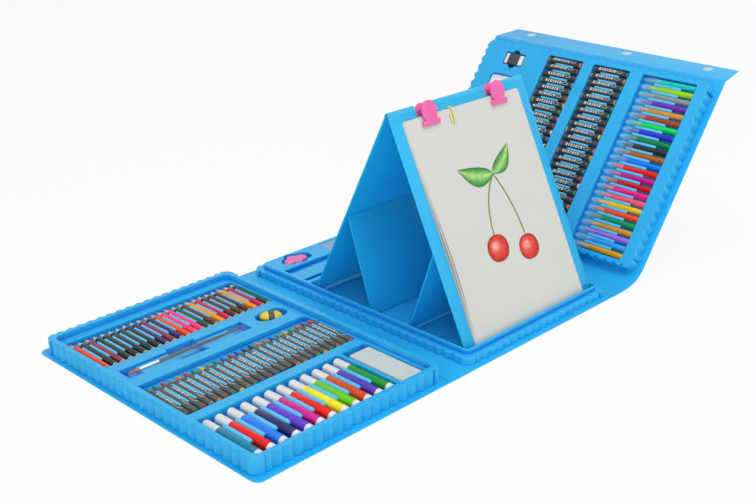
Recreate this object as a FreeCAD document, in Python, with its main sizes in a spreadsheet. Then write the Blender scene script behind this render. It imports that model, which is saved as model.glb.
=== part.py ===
"""Folding art supply case, opened out with its easel standing in the middle.

Frame: the origin is on the table under the centre of the middle panel, +X runs along the row of
panels towards the wing that is tipped up, +Y towards the back and +Z up. All sizes are millimetres.
"""
import FreeCAD, Part
import math
import os
import re
import Sketcher

V = FreeCAD.Vector
X_AXIS = V(1, 0, 0)
Y_AXIS = V(0, 1, 0)
Z_AXIS = V(0, 0, 1)

# The numbers of a box's upright edges, and the two ways of easing them.
UPRIGHT_EDGES = (1, 3, 5, 7)
ROUNDED = "Part::Fillet"
BEVELLED = "Part::Chamfer"
# How many flat sides stand in for a round section.
STICK_SIDE_COUNT = 6
MARKER_SIDE_COUNT = 8
DISC_SIDE_COUNT = 16
# How many straight runs make up a half turn of bent wire.
TURN_STEP_COUNT = 6

# Driving sizes of the whole case.
SIZES = {
    # creased sheet
    "cover_length": 400,
    "sheet_thickness": 1.5,
    "crease_gap": 0.3,
    "cover_corner_radius": 10,
    "crease_margin": 5,
    "left_spine_width": 34,
    "left_tray_margin": 3.5,
    "left_outer_margin": 4.5,
    "right_spine_width": 59,
    "right_spine_angle": 7,
    "right_panel_angle": 53.2,
    "right_tray_margin": 4,
    "right_outer_margin": 12,
    "flap_width": 47,
    "flap_end_inset": 7.4,
    "flap_angle": 5.2,
    "dot_radius": 7,
    "dot_thickness": 0.7,
    "dot_edge_distance": 17,
    # moulded trays
    "tray_width": 277,
    "tray_end_margin": 7.7,
    "tray_corner_radius": 13,
    "nesting_corner_radius": 8,
    "pocket_corner_bevel": 2.9,
    "flute_pitch": 14.3,
    "flute_depth": 3,
    "tray_wall": 1.6,
    "rim_width": 8.6,
    "nesting_clearance": 0.6,
    "seat_clearance": 0.2,
    "cut_overrun": 1,
    # middle tray
    "middle_tray_height": 9.2,
    "lip_height": 6.4,
    "lip_width": 2.6,
    "shelf_length": 93,
    "recess_floor_thickness": 1.5,
    "recess_corner_radius": 3,
    "groove_depth": 6,
    "groove_side_margin": 5,
    "wide_groove_width": 15,
    "wide_groove_setback": 38,
    "narrow_groove_width": 6.5,
    "narrow_groove_setback": 7,
    "narrow_groove_length": 96,
    "cloud_lobe_radius": 11,
    "cloud_lobe_spacing": 14,
    "cloud_thickness": 9,
    "cloud_pocket_gap": 2.2,
    "cloud_centre_inset": 46,
    "shelf_pocket_setback": 74,
    "clip_box_length": 40,
    "clip_box_width": 24,
    "clip_box_height": 8.5,
    "clip_box_gap": 1.2,
    "clip_box_offset": -11,
    # left tray
    "left_tray_height": 20.25,
    "left_platform_drop": 7,
    "left_row_margin": 13.1,
    "left_front_margin": 15.3,
    "left_back_margin": 21.3,
    "marker_column_share": 0.36,
    "crayon_column_share": 0.331,
    "pencil_column_share": 0.309,
    "marker_land": 15,
    "slot_land": 20,
    "pencil_land": 17,
    "pocket_end_gap": 2,
    "rib_length": 40,
    # colour pencils
    "pencil_count": 24,
    "pencil_rib_width": 2.05,
    "pencil_cone": 12,
    "pencil_lead_radius": 1.3,
    "pencil_lead_length": 4,
    "pencil_point_radius": 0.4,
    "pencil_pocket_depth": 6,
    "pencil_rib_height": 6.2,
    # wax crayons
    "crayon_rib_width": 1.85,
    "crayon_shoulder": 4,
    "crayon_shoulder_radius": 3.4,
    "crayon_tip": 11,
    "crayon_tip_radius": 1.6,
    "crayon_tip_gap": 7,
    "crayon_pocket_depth": 6.8,
    "crayon_rib_height": 7,
    # felt markers
    "marker_count": 12,
    "marker_rib_width": 4.6,
    "marker_plug": 5.5,
    "marker_cap": 23.5,
    "marker_tip_gap": 4,
    "marker_cap_step": 0.5,
    "marker_pocket_depth": 11,
    "marker_rib_height": 9.5,
    # brush and its slot
    "brush_slot_width": 24,
    "brush_slot_land": 17.3,
    "brush_slot_inset": 7,
    "brush_slot_depth": 10,
    "brush_tail_gap": 18,
    "brush_handle_radius": 1.9,
    "brush_handle_tail_radius": 1,
    "brush_ferrule_length": 26,
    "brush_ferrule_radius": 2,
    "brush_bristle_length": 15,
    "brush_bristle_tip_radius": 0.9,
    "brush_tuft_radius": 1.8,
    "brush_end_gap": 6,
    "cradle_length": 46,
    "cradle_height": 7,
    "cradle_end_distance": 22,
    "finger_notch_length": 42,
    "finger_notch_reach": 5,
    # egg shaped sharpener
    "egg_length": 33,
    "egg_width": 20,
    "egg_height": 13,
    "egg_turn": 20,
    "egg_band_depth": 1.5,
    "egg_end_distance": 27,
    "egg_pocket_length": 45,
    "egg_pocket_width": 24,
    "egg_pocket_radius": 11,
    "egg_pocket_depth": 9.5,
    # sponge
    "sponge_pocket_width": 39,
    "sponge_pocket_land": 5,
    "sponge_thickness": 9.5,
    "sponge_gap": 1.5,
    "sponge_left_gap": 4.5,
    "sponge_back_gap": 8,
    # right tray
    "right_tray_height": 18.5,
    "right_row_margin": 7.7,
    "right_front_margin": 19,
    "right_back_margin": 28.6,
    "pen_column_share": 0.3186,
    "pastel_column_share": 0.2296,
    "palette_column_share": 0.2222,
    "pen_land": 21,
    "pastel_land": 18,
    "far_land": 28,
    "right_count": 24,
    # oil pastels
    "pastel_rib_width": 1.7,
    "pastel_pocket_depth": 9.4,
    "pastel_rib_height": 7,
    "pastel_rib_length": 30,
    # fibre pens
    "pen_rib_width": 2.5,
    "pen_cap": 28,
    "pen_cap_nose": 6,
    "pen_cap_nose_radius": 2.4,
    "pen_pocket_depth": 9,
    "pen_rib_height": 6.8,
    # eraser and palette in the far column
    "eraser_length": 32,
    "eraser_width": 16,
    "eraser_height": 9,
    "eraser_sleeve_length": 20,
    "eraser_sleeve_wall": 0.5,
    "eraser_sleeve_fit": 0.1,
    "eraser_pocket_gap": 2,
    "eraser_top_gap": 10,
    "palette_width": 78,
    "palette_thickness": 6,
    "palette_pocket_gap": 1.5,
    "palette_land": 16,
    "palette_well_radius": 8,
    "palette_well_depth": 3,
    "far_pocket_depth": 10,
    "far_notch_radius": 7,
    # easel
    "easel_side_gap": 3,
    "easel_front_gap": 3.1,
    "easel_back_gap": 6.64,
    "board_thickness": 2,
    "board_angle": 63.95,
    "foot_flange_width": 5,
    "foot_flange_thickness": 1.5,
    "strut_angle": 19,
    "front_strut_share": 0.43,
    "back_strut_share": 0.458,
    "strut_side_inset": 3,
    "running_clearance": 0.3,
    # paper on the easel
    "paper_side_gap": 18.7,
    "paper_thickness": 1.6,
    "paper_top_gap": 13,
    "paper_bottom_gap": 4,
    "paper_offset": 2.5,
    "paper_clip_length": 26,
    "paper_clip_width": 7,
    "paper_clip_wire": 1.1,
    "paper_clip_wire_gap": 0.5,
    "paper_clip_overhang": 2,
    "paper_clip_share": -0.193,
    # spring clips
    "left_clip_share": -0.4972,
    "right_clip_share": 0.523,
    "front_notch_depth": 12,
    "back_notch_depth": 36,
    "notch_width": 33,
    "lever_angle": 8,
    "lever_thickness": 2.4,
    "lever_length": 30,
    "lever_bar_width": 29,
    "lever_bar_height": 6.5,
    "lever_lobe_width": 25,
    "lever_pivot_share": 0.63,
    "lug_width": 2.6,
    "lug_reach": 2.4,
    "front_lug_offset": 5.2,
    "rear_lug_offset": 8.4,
    "clip_pin_radius": 1.2,
    "clip_pin_clearance": 0.1,
    "clip_spring_radius": 2,
    "clip_spring_thickness": 0.6,
    "clip_spring_width": 5,
    "clip_spring_leg": 8,
    "clip_tip_drop": 26,
    "clip_pin_length": 22,
}

# Sizes that follow from the driving ones, in the order in which they are worked out.
DERIVED = {
    "half_sheet": "sheet_thickness / 2",
    "cover_half_length": "cover_length / 2",
    "crease_setback": "half_sheet + crease_gap",
    "tray_length": "cover_length - 2 * tray_end_margin",
    "tray_half_width": "tray_width / 2",
    "tray_half_length": "tray_length / 2",
    "crease_x": "tray_half_width + crease_margin",
    "left_panel_width": "left_tray_margin + tray_width + left_outer_margin",
    "right_panel_width": "right_tray_margin + tray_width + right_outer_margin",
    "left_tray_x": "-(crease_x + left_spine_width + left_tray_margin + tray_half_width)",
    "tray_inset": "flute_depth + tray_wall",
    "middle_wall_top": "sheet_thickness + middle_tray_height",
    "middle_top": "middle_wall_top + lip_height",
    "recess_bottom": "sheet_thickness + recess_floor_thickness",
    "lip_half_width": "tray_half_width - rim_width - nesting_clearance",
    "lip_half_length": "tray_half_length - rim_width - nesting_clearance",
    "recess_half_width": "lip_half_width - lip_width",
    "recess_front": "-(lip_half_length - lip_width)",
    "shelf_front": "lip_half_length - shelf_length",
    "left_top": "sheet_thickness + left_tray_height",
    "left_platform": "left_top - left_platform_drop",
    "left_lands": "left_front_margin + marker_land + slot_land + pencil_land + left_back_margin",
    "left_columns": "tray_length - left_lands - brush_slot_width",
    "marker_pocket_length": "left_columns * marker_column_share",
    "crayon_pocket_length": "left_columns * crayon_column_share",
    "pencil_pocket_length": "left_columns * pencil_column_share",
    "marker_barrel": "marker_pocket_length - 2 * pocket_end_gap - marker_tip_gap"
                     " - marker_plug - marker_cap",
    "crayon_wrapper": "crayon_pocket_length - 2 * pocket_end_gap - crayon_tip_gap"
                      " - crayon_shoulder - crayon_tip",
    "pencil_barrel": "pencil_pocket_length - 2 * pocket_end_gap - pencil_cone - pencil_lead_length",
    "marker_front": "-tray_half_length + left_front_margin",
    "marker_back": "marker_front + marker_pocket_length",
    "crayon_front": "marker_back + marker_land",
    "crayon_back": "crayon_front + crayon_pocket_length",
    "slot_front": "crayon_back + slot_land",
    "slot_back": "slot_front + brush_slot_width",
    "slot_middle": "slot_front + brush_slot_width / 2",
    "pencil_front": "slot_back + pencil_land",
    "pencil_back": "pencil_front + pencil_pocket_length",
    "pencil_floor": "left_platform - pencil_pocket_depth",
    "crayon_floor": "left_platform - crayon_pocket_depth",
    "marker_floor": "left_platform - marker_pocket_depth",
    "slot_floor": "left_platform - brush_slot_depth",
    "egg_floor": "left_platform - egg_pocket_depth",
    "left_row_start": "left_tray_x - tray_half_width + left_row_margin",
    "left_row_end": "left_tray_x + tray_half_width - left_row_margin",
    "pencil_pitch": "(left_row_end - left_row_start) / pencil_count",
    "pencil_width": "pencil_pitch - pencil_rib_width - 2 * seat_clearance",
    "crayon_diameter": "pencil_pitch - crayon_rib_width - 2 * seat_clearance",
    "sponge_start": "left_row_end - sponge_pocket_width",
    "marker_row_end": "sponge_start - sponge_pocket_land",
    "marker_pitch": "(marker_row_end - left_row_start) / marker_count",
    "marker_diameter": "marker_pitch - marker_rib_width - 2 * seat_clearance",
    "egg_x": "left_row_end - egg_end_distance",
    "slot_start": "left_row_start + brush_slot_inset",
    "slot_end": "egg_x - egg_pocket_length / 2 - brush_slot_land",
    "slot_centre": "(slot_start + slot_end) / 2",
    "brush_length": "slot_end - slot_start - brush_end_gap - brush_tail_gap",
    "right_platform": "half_sheet + right_tray_height",
    "right_tray_x": "right_tray_margin + tray_half_width",
    "right_row_start": "right_tray_margin + right_row_margin",
    "right_row_end": "right_tray_margin + tray_width - right_row_margin",
    "right_pitch": "(right_row_end - right_row_start) / right_count",
    "pen_diameter": "right_pitch - pen_rib_width - 2 * seat_clearance",
    "pastel_diameter": "right_pitch - pastel_rib_width - 2 * seat_clearance",
    "right_lands": "right_front_margin + pen_land + pastel_land + far_land + right_back_margin",
    "right_columns": "tray_length - right_lands",
    "pen_pocket_length": "right_columns * pen_column_share",
    "pastel_pocket_length": "right_columns * pastel_column_share",
    "palette_length": "right_columns * palette_column_share - 2 * palette_pocket_gap",
    "pen_barrel": "pen_pocket_length - 2 * pocket_end_gap - pen_cap",
    "pastel_stick": "pastel_pocket_length - 2 * pocket_end_gap",
    "pen_front": "-tray_half_length + right_front_margin",
    "pen_back": "pen_front + pen_pocket_length",
    "near_pastel_front": "pen_back + pen_land",
    "near_pastel_back": "near_pastel_front + pastel_pocket_length",
    "far_pastel_front": "near_pastel_back + pastel_land",
    "far_pastel_back": "far_pastel_front + pastel_pocket_length",
    "far_column_front": "far_pastel_back + far_land",
    "far_column_y": "far_column_front + palette_length / 2 + palette_pocket_gap",
    "eraser_x": "right_row_end - eraser_top_gap - eraser_width / 2",
    "eraser_low": "eraser_x - eraser_width / 2",
    "eraser_high": "eraser_x + eraser_width / 2",
    "notch_corner_radius": "far_notch_radius - seat_clearance",
    "palette_x": "eraser_low - eraser_pocket_gap - palette_land"
                 " - palette_pocket_gap - palette_width / 2",
    "pen_floor": "right_platform - pen_pocket_depth",
    "pastel_floor": "right_platform - pastel_pocket_depth",
    "far_floor": "right_platform - far_pocket_depth",
    "groove_half_length": "lip_half_width - groove_side_margin",
    "groove_floor": "middle_top - groove_depth",
    "shelf_pocket_y": "shelf_front + shelf_pocket_setback",
    "cloud_x": "-lip_half_width + cloud_centre_inset",
    "cloud_floor": "middle_top - cloud_thickness",
    "clip_box_floor": "middle_top - clip_box_height",
    "easel_half_width": "recess_half_width - easel_side_gap",
    "easel_width": "2 * easel_half_width",
    "left_clip_offset": "easel_half_width * left_clip_share",
    "right_clip_offset": "easel_half_width * right_clip_share",
    "paper_clip_offset": "easel_half_width * paper_clip_share",
    "easel_foot_z": "recess_bottom + running_clearance",
    "easel_foot_y": "recess_front + easel_front_gap",
    "board_length": "(shelf_front - easel_back_gap - easel_foot_y) / (2 * cos(board_angle * 1 deg))",
    "paper_width": "easel_width - 2 * paper_side_gap",
    "paper_length": "board_length - paper_top_gap - paper_bottom_gap",
    "paper_top": "board_length - paper_top_gap",
    "paper_face": "board_thickness + paper_thickness",
    "clip_middle": "paper_face / 2",
    "zero": "cover_length - cover_length",
    "notch_half_width": "notch_width / 2",
    "board_half_thickness": "board_thickness / 2",
    "strut_width": "easel_width - 2 * strut_side_inset",
    "strut_setback": "board_half_thickness + running_clearance",
    "strut_foot_rise": "board_half_thickness * sin(strut_angle * 1 deg)",
    "hinge_drop": "strut_setback * cos(board_angle * 1 deg)",
    "front_hinge_rise": "front_strut_share * board_length * sin(board_angle * 1 deg) - hinge_drop",
    "back_hinge_rise": "back_strut_share * board_length * sin(board_angle * 1 deg) - hinge_drop",
    "front_strut_length": "(front_hinge_rise - strut_foot_rise) / cos(strut_angle * 1 deg)",
    "back_strut_length": "(back_hinge_rise - strut_foot_rise) / cos(strut_angle * 1 deg)",
    "eraser_bottom": "far_floor + seat_clearance + eraser_sleeve_fit + eraser_sleeve_wall",
    "clip_tip": "board_length - clip_tip_drop",
    "lever_pivot_y": "lever_length * lever_pivot_share",
    "lever_pivot_rise": "lever_pivot_y * sin(lever_angle * 1 deg)",
    "lever_pivot_depth": "(clip_middle + lever_pivot_rise) / cos(lever_angle * 1 deg)",
    "lever_lobe_half_length": "(lever_length - lever_bar_height / 2) / 2",
    "clip_spring_outer": "clip_spring_radius + clip_spring_thickness",
}

doc = FreeCAD.newDocument("art_supply_case")
sheet = doc.addObject("Spreadsheet::Sheet", "sizes")
for line, (alias, value) in enumerate(list(SIZES.items()) + list(DERIVED.items()), start=1):
    sheet.set(f"A{line}", alias)
    sheet.setAlias(f"B{line}", alias)
    sheet.set(f"B{line}", str(value) if alias in SIZES else "=" + value)
doc.recompute()

parts = []


def size(alias):
    """Read one size from the sheet."""
    return float(sheet.get(alias))


def cells(text):
    """Turn a formula in plain size names into one that reads the sheet's cells."""
    return re.sub(r"[a-z_]{3,}", lambda word: "sizes." + word.group(), text)


def bind(obj, **formulas):
    """Bind properties of an object to the sheet; a double underscore stands for a dot."""
    for name, text in formulas.items():
        obj.setExpression(name.replace("__", "."), cells(text))
    return obj


def part(obj, label, placement=None):
    """Register an object as a finished sub-part under its own label."""
    if placement is not None and any("Placement" in path for path, _ in obj.ExpressionEngine):
        bound = obj
        bound.Label = label + "_shape"
        obj = doc.addObject("Part::Compound", label + "_placed")
        obj.Links = [bound]
    obj.Label = label
    if placement is not None:
        obj.Placement = placement
    parts.append(obj)
    return obj


def block(name, low_x, high_x, low_y, high_y, low_z, high_z):
    """A box between two corners."""
    box = doc.addObject("Part::Box", name)
    return bind(box, Length=f"({high_x}) - ({low_x})", Width=f"({high_y}) - ({low_y})",
                Height=f"({high_z}) - ({low_z})", Placement__Base__x=low_x,
                Placement__Base__y=low_y, Placement__Base__z=low_z)


def eased_block(name, feature, ease, *corners):
    """A box with its four upright edges rounded or bevelled."""
    solid = doc.addObject(feature, name)
    solid.Base = block(name + "_box", *corners)
    solid.Edges = [(edge, amount(ease), amount(ease)) for edge in UPRIGHT_EDGES]
    return solid


def round_bar(name, radius, height, x="zero", y="zero", z="zero"):
    """An upright round bar standing on a point."""
    bar = doc.addObject("Part::Cylinder", name)
    return bind(bar, Radius=radius, Height=height, Placement__Base__x=x,
                Placement__Base__y=y, Placement__Base__z=z)


def disc(name, radius, height, x="zero", y="zero", z="zero"):
    """An upright disc with flat sides, for round trim that nothing turns on."""
    slab = doc.addObject("Part::Prism", name)
    slab.Polygon = DISC_SIDE_COUNT
    return bind(slab, Circumradius=radius, Height=height, Placement__Base__x=x,
                Placement__Base__y=y, Placement__Base__z=z)


def fused(name, shapes):
    """One solid made of several that touch."""
    joined = doc.addObject("Part::MultiFuse", name)
    joined.Shapes = shapes
    joined.Refine = True
    return joined


def cut(name, base, tools):
    """A solid with one or more tools cut out of it."""
    result = doc.addObject("Part::Cut", name)
    result.Base = base
    result.Tool = tools[0] if len(tools) == 1 else fused(name + "_tools", tools)
    result.Refine = True
    return result


def copies(name, unit, spots, turn=None):
    """Copies of a unit at several spots, each a separate solid."""
    doc.recompute()
    turn = turn or FreeCAD.Rotation()
    shapes = []
    for spot in spots:
        shape = unit.Shape.copy()
        shape.Placement = FreeCAD.Placement(spot, turn).multiply(unit.Placement)
        shapes.append(shape)
    group = doc.addObject("Part::Feature", name)
    group.Shape = Part.Compound(shapes)
    return group


def row(name, unit, count, start, step, turn=None):
    """Copies of a unit set out along a line."""
    return copies(name, unit, [start + step * index for index in range(count)], turn)


def amount(text):
    """The value of a sum of signed size names."""
    terms = re.findall(r"([+-]?)\s*([a-z_]+)", text)
    return sum(-size(alias) if sign == "-" else size(alias) for sign, alias in terms)


def new_sketch(body, name, role):
    """An empty sketch on one of a body's own origin planes."""
    sketch = body.newObject("Sketcher::SketchObject", name)
    plane = next(item for item in body.Origin.OriginFeatures if item.Role == role)
    sketch.AttachmentSupport = [(plane, "")]
    sketch.MapMode = "FlatFace"
    return sketch


def drive(sketch, kind, *references, formula):
    """Add a dimension to a sketch and bind it to the sheet."""
    index = sketch.addConstraint(Sketcher.Constraint(kind, *references, amount(formula)))
    sketch.setExpression(f"Constraints[{index}]", cells(formula))


def add_polygon(sketch, corners):
    """Draw a closed polygon whose corners are driven from the sketch's origin."""
    points = [V(amount(across), amount(along), 0) for across, along in corners]
    lines = [sketch.addGeometry(Part.LineSegment(point, following))
             for point, following in zip(points, points[1:] + points[:1])]
    for line, following in zip(lines, lines[1:] + lines[:1]):
        sketch.addConstraint(Sketcher.Constraint("Coincident", line, 2, following, 1))
    for line, (across, along) in zip(lines, corners):
        drive(sketch, "DistanceX", -1, 1, line, 1, formula=across)
        drive(sketch, "DistanceY", -1, 1, line, 1, formula=along)


def flat_plate(label, corners, thickness):
    """A flat plate cut to a polygon, standing on its local XY plane."""
    body = doc.addObject("PartDesign::Body", label + "_body")
    sketch = new_sketch(body, label + "_outline", "XY_Plane")
    add_polygon(sketch, corners)
    pad = body.newObject("PartDesign::Pad", label + "_pad")
    pad.Profile = sketch
    bind(pad, Length=thickness)
    return body


def hinged_plate(label, reach, length, half_thickness):
    """A plate that turns about its local Y axis, where its edge is a round nose."""
    body = doc.addObject("PartDesign::Body", label + "_body")
    sketch = new_sketch(body, label + "_profile", "XZ_Plane")
    half = amount(half_thickness)
    far = amount(reach)
    circle = Part.Circle(V(0, 0, 0), Z_AXIS, half)
    nose = sketch.addGeometry(Part.ArcOfCircle(circle, math.pi / 2, 3 * math.pi / 2))
    low = sketch.addGeometry(Part.LineSegment(V(0, -half, 0), V(far, -half, 0)))
    end = sketch.addGeometry(Part.LineSegment(V(far, -half, 0), V(far, half, 0)))
    top = sketch.addGeometry(Part.LineSegment(V(far, half, 0), V(0, half, 0)))
    for rule in (("Coincident", nose, 3, -1, 1), ("Tangent", nose, 2, low, 1),
                 ("Coincident", low, 2, end, 1), ("Coincident", end, 2, top, 1),
                 ("Tangent", top, 2, nose, 1), ("Horizontal", low), ("Vertical", end)):
        sketch.addConstraint(Sketcher.Constraint(*rule))
    drive(sketch, "Radius", nose, formula=half_thickness)
    drive(sketch, "DistanceX", -1, 1, end, 1, formula=reach)
    pad = body.newObject("PartDesign::Pad", label + "_pad")
    pad.Profile = sketch
    pad.SideType = "Symmetric"
    bind(pad, Length=length)
    return body


# One flute of a tray's wall: how far along its width and how far out of its depth each corner lies.
FLUTE_SHARES = ((0, 0), (0.3, 1), (0.7, 1))


def fluted_block(name, x, z, height):
    """A tray's outer block, with flutes all round its wall."""
    half_x = size("tray_half_width")
    half_y = size("tray_half_length")
    depth = size("flute_depth")
    corner = size("tray_corner_radius")
    edges = []
    for quarter in range(4):
        turned = quarter % 2 == 1
        run = (half_y if turned else half_x) - corner
        out = half_x if turned else half_y
        turn = FreeCAD.Rotation(Z_AXIS, 90 * quarter)
        count = round(2 * run / size("flute_pitch"))
        width = 2 * run / count
        wave = [V((index + along) * width - run, depth * (1 - outward) - out, 0)
                for index in range(count) for along, outward in FLUTE_SHARES]
        wave.append(V(run, depth - out, 0))
        edges += Part.makePolygon([turn.multVec(point) for point in wave]).Edges
        slant = corner * math.sqrt(0.5)
        points = (V(run, depth - out, 0), V(run + slant, corner - out - slant, 0),
                  V(run + corner - depth, corner - out, 0))
        edges.append(Part.Arc(*(turn.multVec(point) for point in points)).toShape())
    outline = doc.addObject("Part::Feature", name + "_outline")
    outline.Shape = Part.Face(Part.Wire(edges))
    solid = doc.addObject("Part::Extrusion", name)
    solid.Base = outline
    solid.DirMode = "Custom"
    solid.Dir = Z_AXIS
    solid.Solid = True
    return bind(solid, LengthFwd=height, Placement__Base__x=x, Placement__Base__z=z)


def faceted(name, rings):
    """A solid with flat sides between rings of equally many corners."""
    outlines = [rings[0], rings[-1]]
    for low, high in zip(rings, rings[1:]):
        for index in range(len(low)):
            outlines.append([low[index - 1], low[index], high[index], high[index - 1]])
    faces = [Part.Face(Part.makePolygon(outline + outline[:1])) for outline in outlines]
    solid = doc.addObject("Part::Feature", name)
    solid.Shape = Part.Solid(Part.Shell(faces))
    return solid


def stick(name, side_count, profile):
    """An upright stick with a regular section, through (height, radius) stations."""
    return faceted(name, [[FreeCAD.Rotation(Z_AXIS, 360 * index / side_count).multVec(V(radius, 0, height))
                           for index in range(side_count)] for height, radius in profile])


def tray_shell(name, outer, removed, pockets, platform):
    """A moulded tray: an open-bottomed skin with a cup under each pocket."""
    cups = []
    mouths = []
    for pocket, (feature, ease), low_x, high_x, low_y, high_y, floor in pockets:
        cups.append(block(f"{name}_{pocket}_cup", f"{low_x} - tray_wall", f"{high_x} + tray_wall",
                          f"{low_y} - tray_wall", f"{high_y} + tray_wall", f"{floor} - tray_wall", platform))
        mouths.append(eased_block(f"{name}_{pocket}_pocket", feature, ease, low_x, high_x, low_y, high_y,
                                  floor, f"{platform} + cut_overrun"))
    skin = cut(name + "_skin", outer, removed)
    return cut(name + "_pocketed", fused(name + "_cups", [skin] + cups), mouths)


def hollow(name, x, bottom, top):
    """The space under a tray's skin."""
    return block(name, f"{x} - tray_half_width + tray_inset", f"{x} + tray_half_width - tray_inset",
                 "tray_inset - tray_half_length", "tray_half_length - tray_inset",
                 f"{bottom} - cut_overrun", f"{top} - tray_wall")


def snap_ribs(name, count, pitch, width, start, front, back, floor, height, length):
    """The ribs that stand between the items of a row."""
    rib = block(name + "_rib", f"-{width} / 2", f"{width} / 2", f"-{length} / 2", f"{length} / 2",
                "zero", height)
    first = V(size(start) + size(pitch), (size(front) + size(back)) / 2, size(floor))
    return row(name, rib, int(size(count)) - 1, first, V(size(pitch), 0, 0))


ALONG_Y = FreeCAD.Rotation(X_AXIS, -90)
ALONG_X = FreeCAD.Rotation(Y_AXIS, 90)


def stick_row(label, unit, count, pitch, start, front, axis_z, placement=None):
    """A row of sticks lying along Y in their pocket."""
    first = V(size(start) + size(pitch) / 2, size(front) + size("pocket_end_gap"), axis_z)
    group = row(label, unit, int(size(count)), first, V(size(pitch), 0, 0), ALONG_Y)
    return part(group, label, placement)


# Creased sheet: a middle panel, two spines, two wings and a closing flap.
half_sheet = size("half_sheet")
left_spine_frame = FreeCAD.Placement(V(-size("crease_x"), 0, half_sheet), FreeCAD.Rotation(Z_AXIS, 180))
left_wing_frame = FreeCAD.Placement(V(-size("crease_x") - size("left_spine_width"), 0, half_sheet),
                                    FreeCAD.Rotation(Z_AXIS, 180))
right_spine_frame = FreeCAD.Placement(V(size("crease_x"), 0, half_sheet),
                                      FreeCAD.Rotation(Y_AXIS, -size("right_spine_angle")))
right_wing_frame = FreeCAD.Placement(right_spine_frame.multVec(V(size("right_spine_width"), 0, 0)),
                                     FreeCAD.Rotation(Y_AXIS, -size("right_panel_angle")))
flap_frame = FreeCAD.Placement(right_wing_frame.multVec(V(size("right_panel_width"), 0, 0)),
                               FreeCAD.Rotation(Y_AXIS, -size("flap_angle")))

part(flat_plate("middle_cover", [("crease_setback - crease_x", "-cover_half_length"),
                                 ("crease_x - crease_setback", "-cover_half_length"),
                                 ("crease_x - crease_setback", "cover_half_length"),
                                 ("crease_setback - crease_x", "cover_half_length")], "sheet_thickness"),
     "middle_cover")
left_cover = part(hinged_plate("left_cover", "left_panel_width", "cover_length", "half_sheet"),
                  "left_cover", left_wing_frame)
part(hinged_plate("right_spine", "right_spine_width - crease_setback", "cover_length", "half_sheet"),
     "right_spine", right_spine_frame)
part(hinged_plate("right_cover", "right_panel_width - crease_setback", "cover_length", "half_sheet"),
     "right_cover", right_wing_frame)
closing_flap = part(hinged_plate("closing_flap", "flap_width", "cover_length", "half_sheet"),
                    "closing_flap", flap_frame)
left_spine_plate = hinged_plate("left_spine_plate", "left_spine_width - crease_setback", "cover_length",
                                "half_sheet")
left_spine_plate.Placement = left_spine_frame


def corner_edges(shape, x):
    """The names of a plate's upright edges at one end."""
    return [f"Edge{index}" for index, edge in enumerate(shape.Edges, start=1)
            if len(edge.Vertexes) == 2 and all(abs(point.X - x) < half_sheet / 2 for point in edge.Vertexes)
            and abs(edge.Vertexes[0].Z - edge.Vertexes[1].Z) > half_sheet]


# The outer corners of the left wing are rounded, and the ends of the closing flap slope in.
doc.recompute()
left_pad = left_cover.Tip
rounding = left_cover.newObject("PartDesign::Fillet", "left_cover_corners")
rounding.Base = (left_pad, corner_edges(left_pad.Shape, size("left_panel_width")))
bind(rounding, Radius="cover_corner_radius")

slope_sketch = new_sketch(closing_flap, "closing_flap_slopes", "XY_Plane")
for side in ("", "-"):
    other = "-" if side == "" else "+"
    add_polygon(slope_sketch, [("half_sheet", f"{side}cover_half_length"),
                               ("flap_width", f"{side}cover_half_length"),
                               ("flap_width", f"{side}cover_half_length {other} flap_end_inset")])
slopes = closing_flap.newObject("PartDesign::Pocket", "closing_flap_ends")
slopes.Profile = slope_sketch
slopes.Type = "ThroughAll"
slopes.SideType = "Symmetric"

# Three hook-and-loop dots on the flap, and their mates let into the outer face of the left spine.
dot = disc("dot", "dot_radius", "dot_thickness")
DOT_SHARES = (0.77, -0.11, -0.775)


def dot_row(name, x, z):
    """The dots along the case, at their shares of its half length."""
    spots = [V(x, share * size("cover_half_length"), z) for share in DOT_SHARES]
    return copies(name, dot, spots)


dot_reach = size("flap_width") - size("dot_edge_distance")
part(dot_row("flap_dots", dot_reach, half_sheet), "flap_dots", flap_frame)
spine_middle = -size("crease_x") - size("left_spine_width") / 2
part(dot_row("spine_dots", spine_middle, 0), "spine_dots")
dot_seats = dot_row("dot_seats", spine_middle, 0)
part(cut("left_spine", left_spine_plate, [dot_seats]), "left_spine")

# Middle tray: a low fluted wall, a lip that nests in the left tray, the easel recess and the shelf.
middle_wall = fluted_block("middle_wall", "zero", "sheet_thickness", "middle_tray_height")
lip = eased_block("middle_lip", ROUNDED, "nesting_corner_radius", "-lip_half_width", "lip_half_width",
                  "-lip_half_length", "lip_half_length", "sheet_thickness", "middle_top")


def recess_block(name, gap, low_z, high_z):
    """The easel recess, or the floor sheet that lies in it with a gap all round."""
    return eased_block(name, ROUNDED, "recess_corner_radius", f"{gap} - recess_half_width",
                       f"recess_half_width - {gap}", f"recess_front + {gap}", f"shelf_front - {gap}",
                       low_z, high_z)


def groove(name, grow, setback, width, end_x, top):
    """A groove along the shelf, or the cup round it, from the shelf's left end."""
    return block(name, f"-groove_half_length - {grow}", f"{end_x} + {grow}",
                 f"shelf_front + {setback} - {grow}", f"shelf_front + {setback} + {width} + {grow}",
                 f"groove_floor - {grow}", top)


CLOUD_LOBE_SHARES = ((-1, -0.15, 0.8), (-0.1, 0.3, 1), (0.9, 0, 0.85), (0, -0.4, 0.8))


def cloud(name, gap, low_z, high_z):
    """A cloud outline made of round lobes, widened all round by a gap."""
    lobes = []
    for index, (across, along, share) in enumerate(CLOUD_LOBE_SHARES):
        lobes.append(disc(f"{name}_lobe_{index}", f"cloud_lobe_radius * {share} + {gap}",
                          f"{high_z} - ({low_z})", f"cloud_x + cloud_lobe_spacing * {across}",
                          f"shelf_pocket_y + cloud_lobe_spacing * {along}", low_z))
    return fused(name, lobes)


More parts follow.
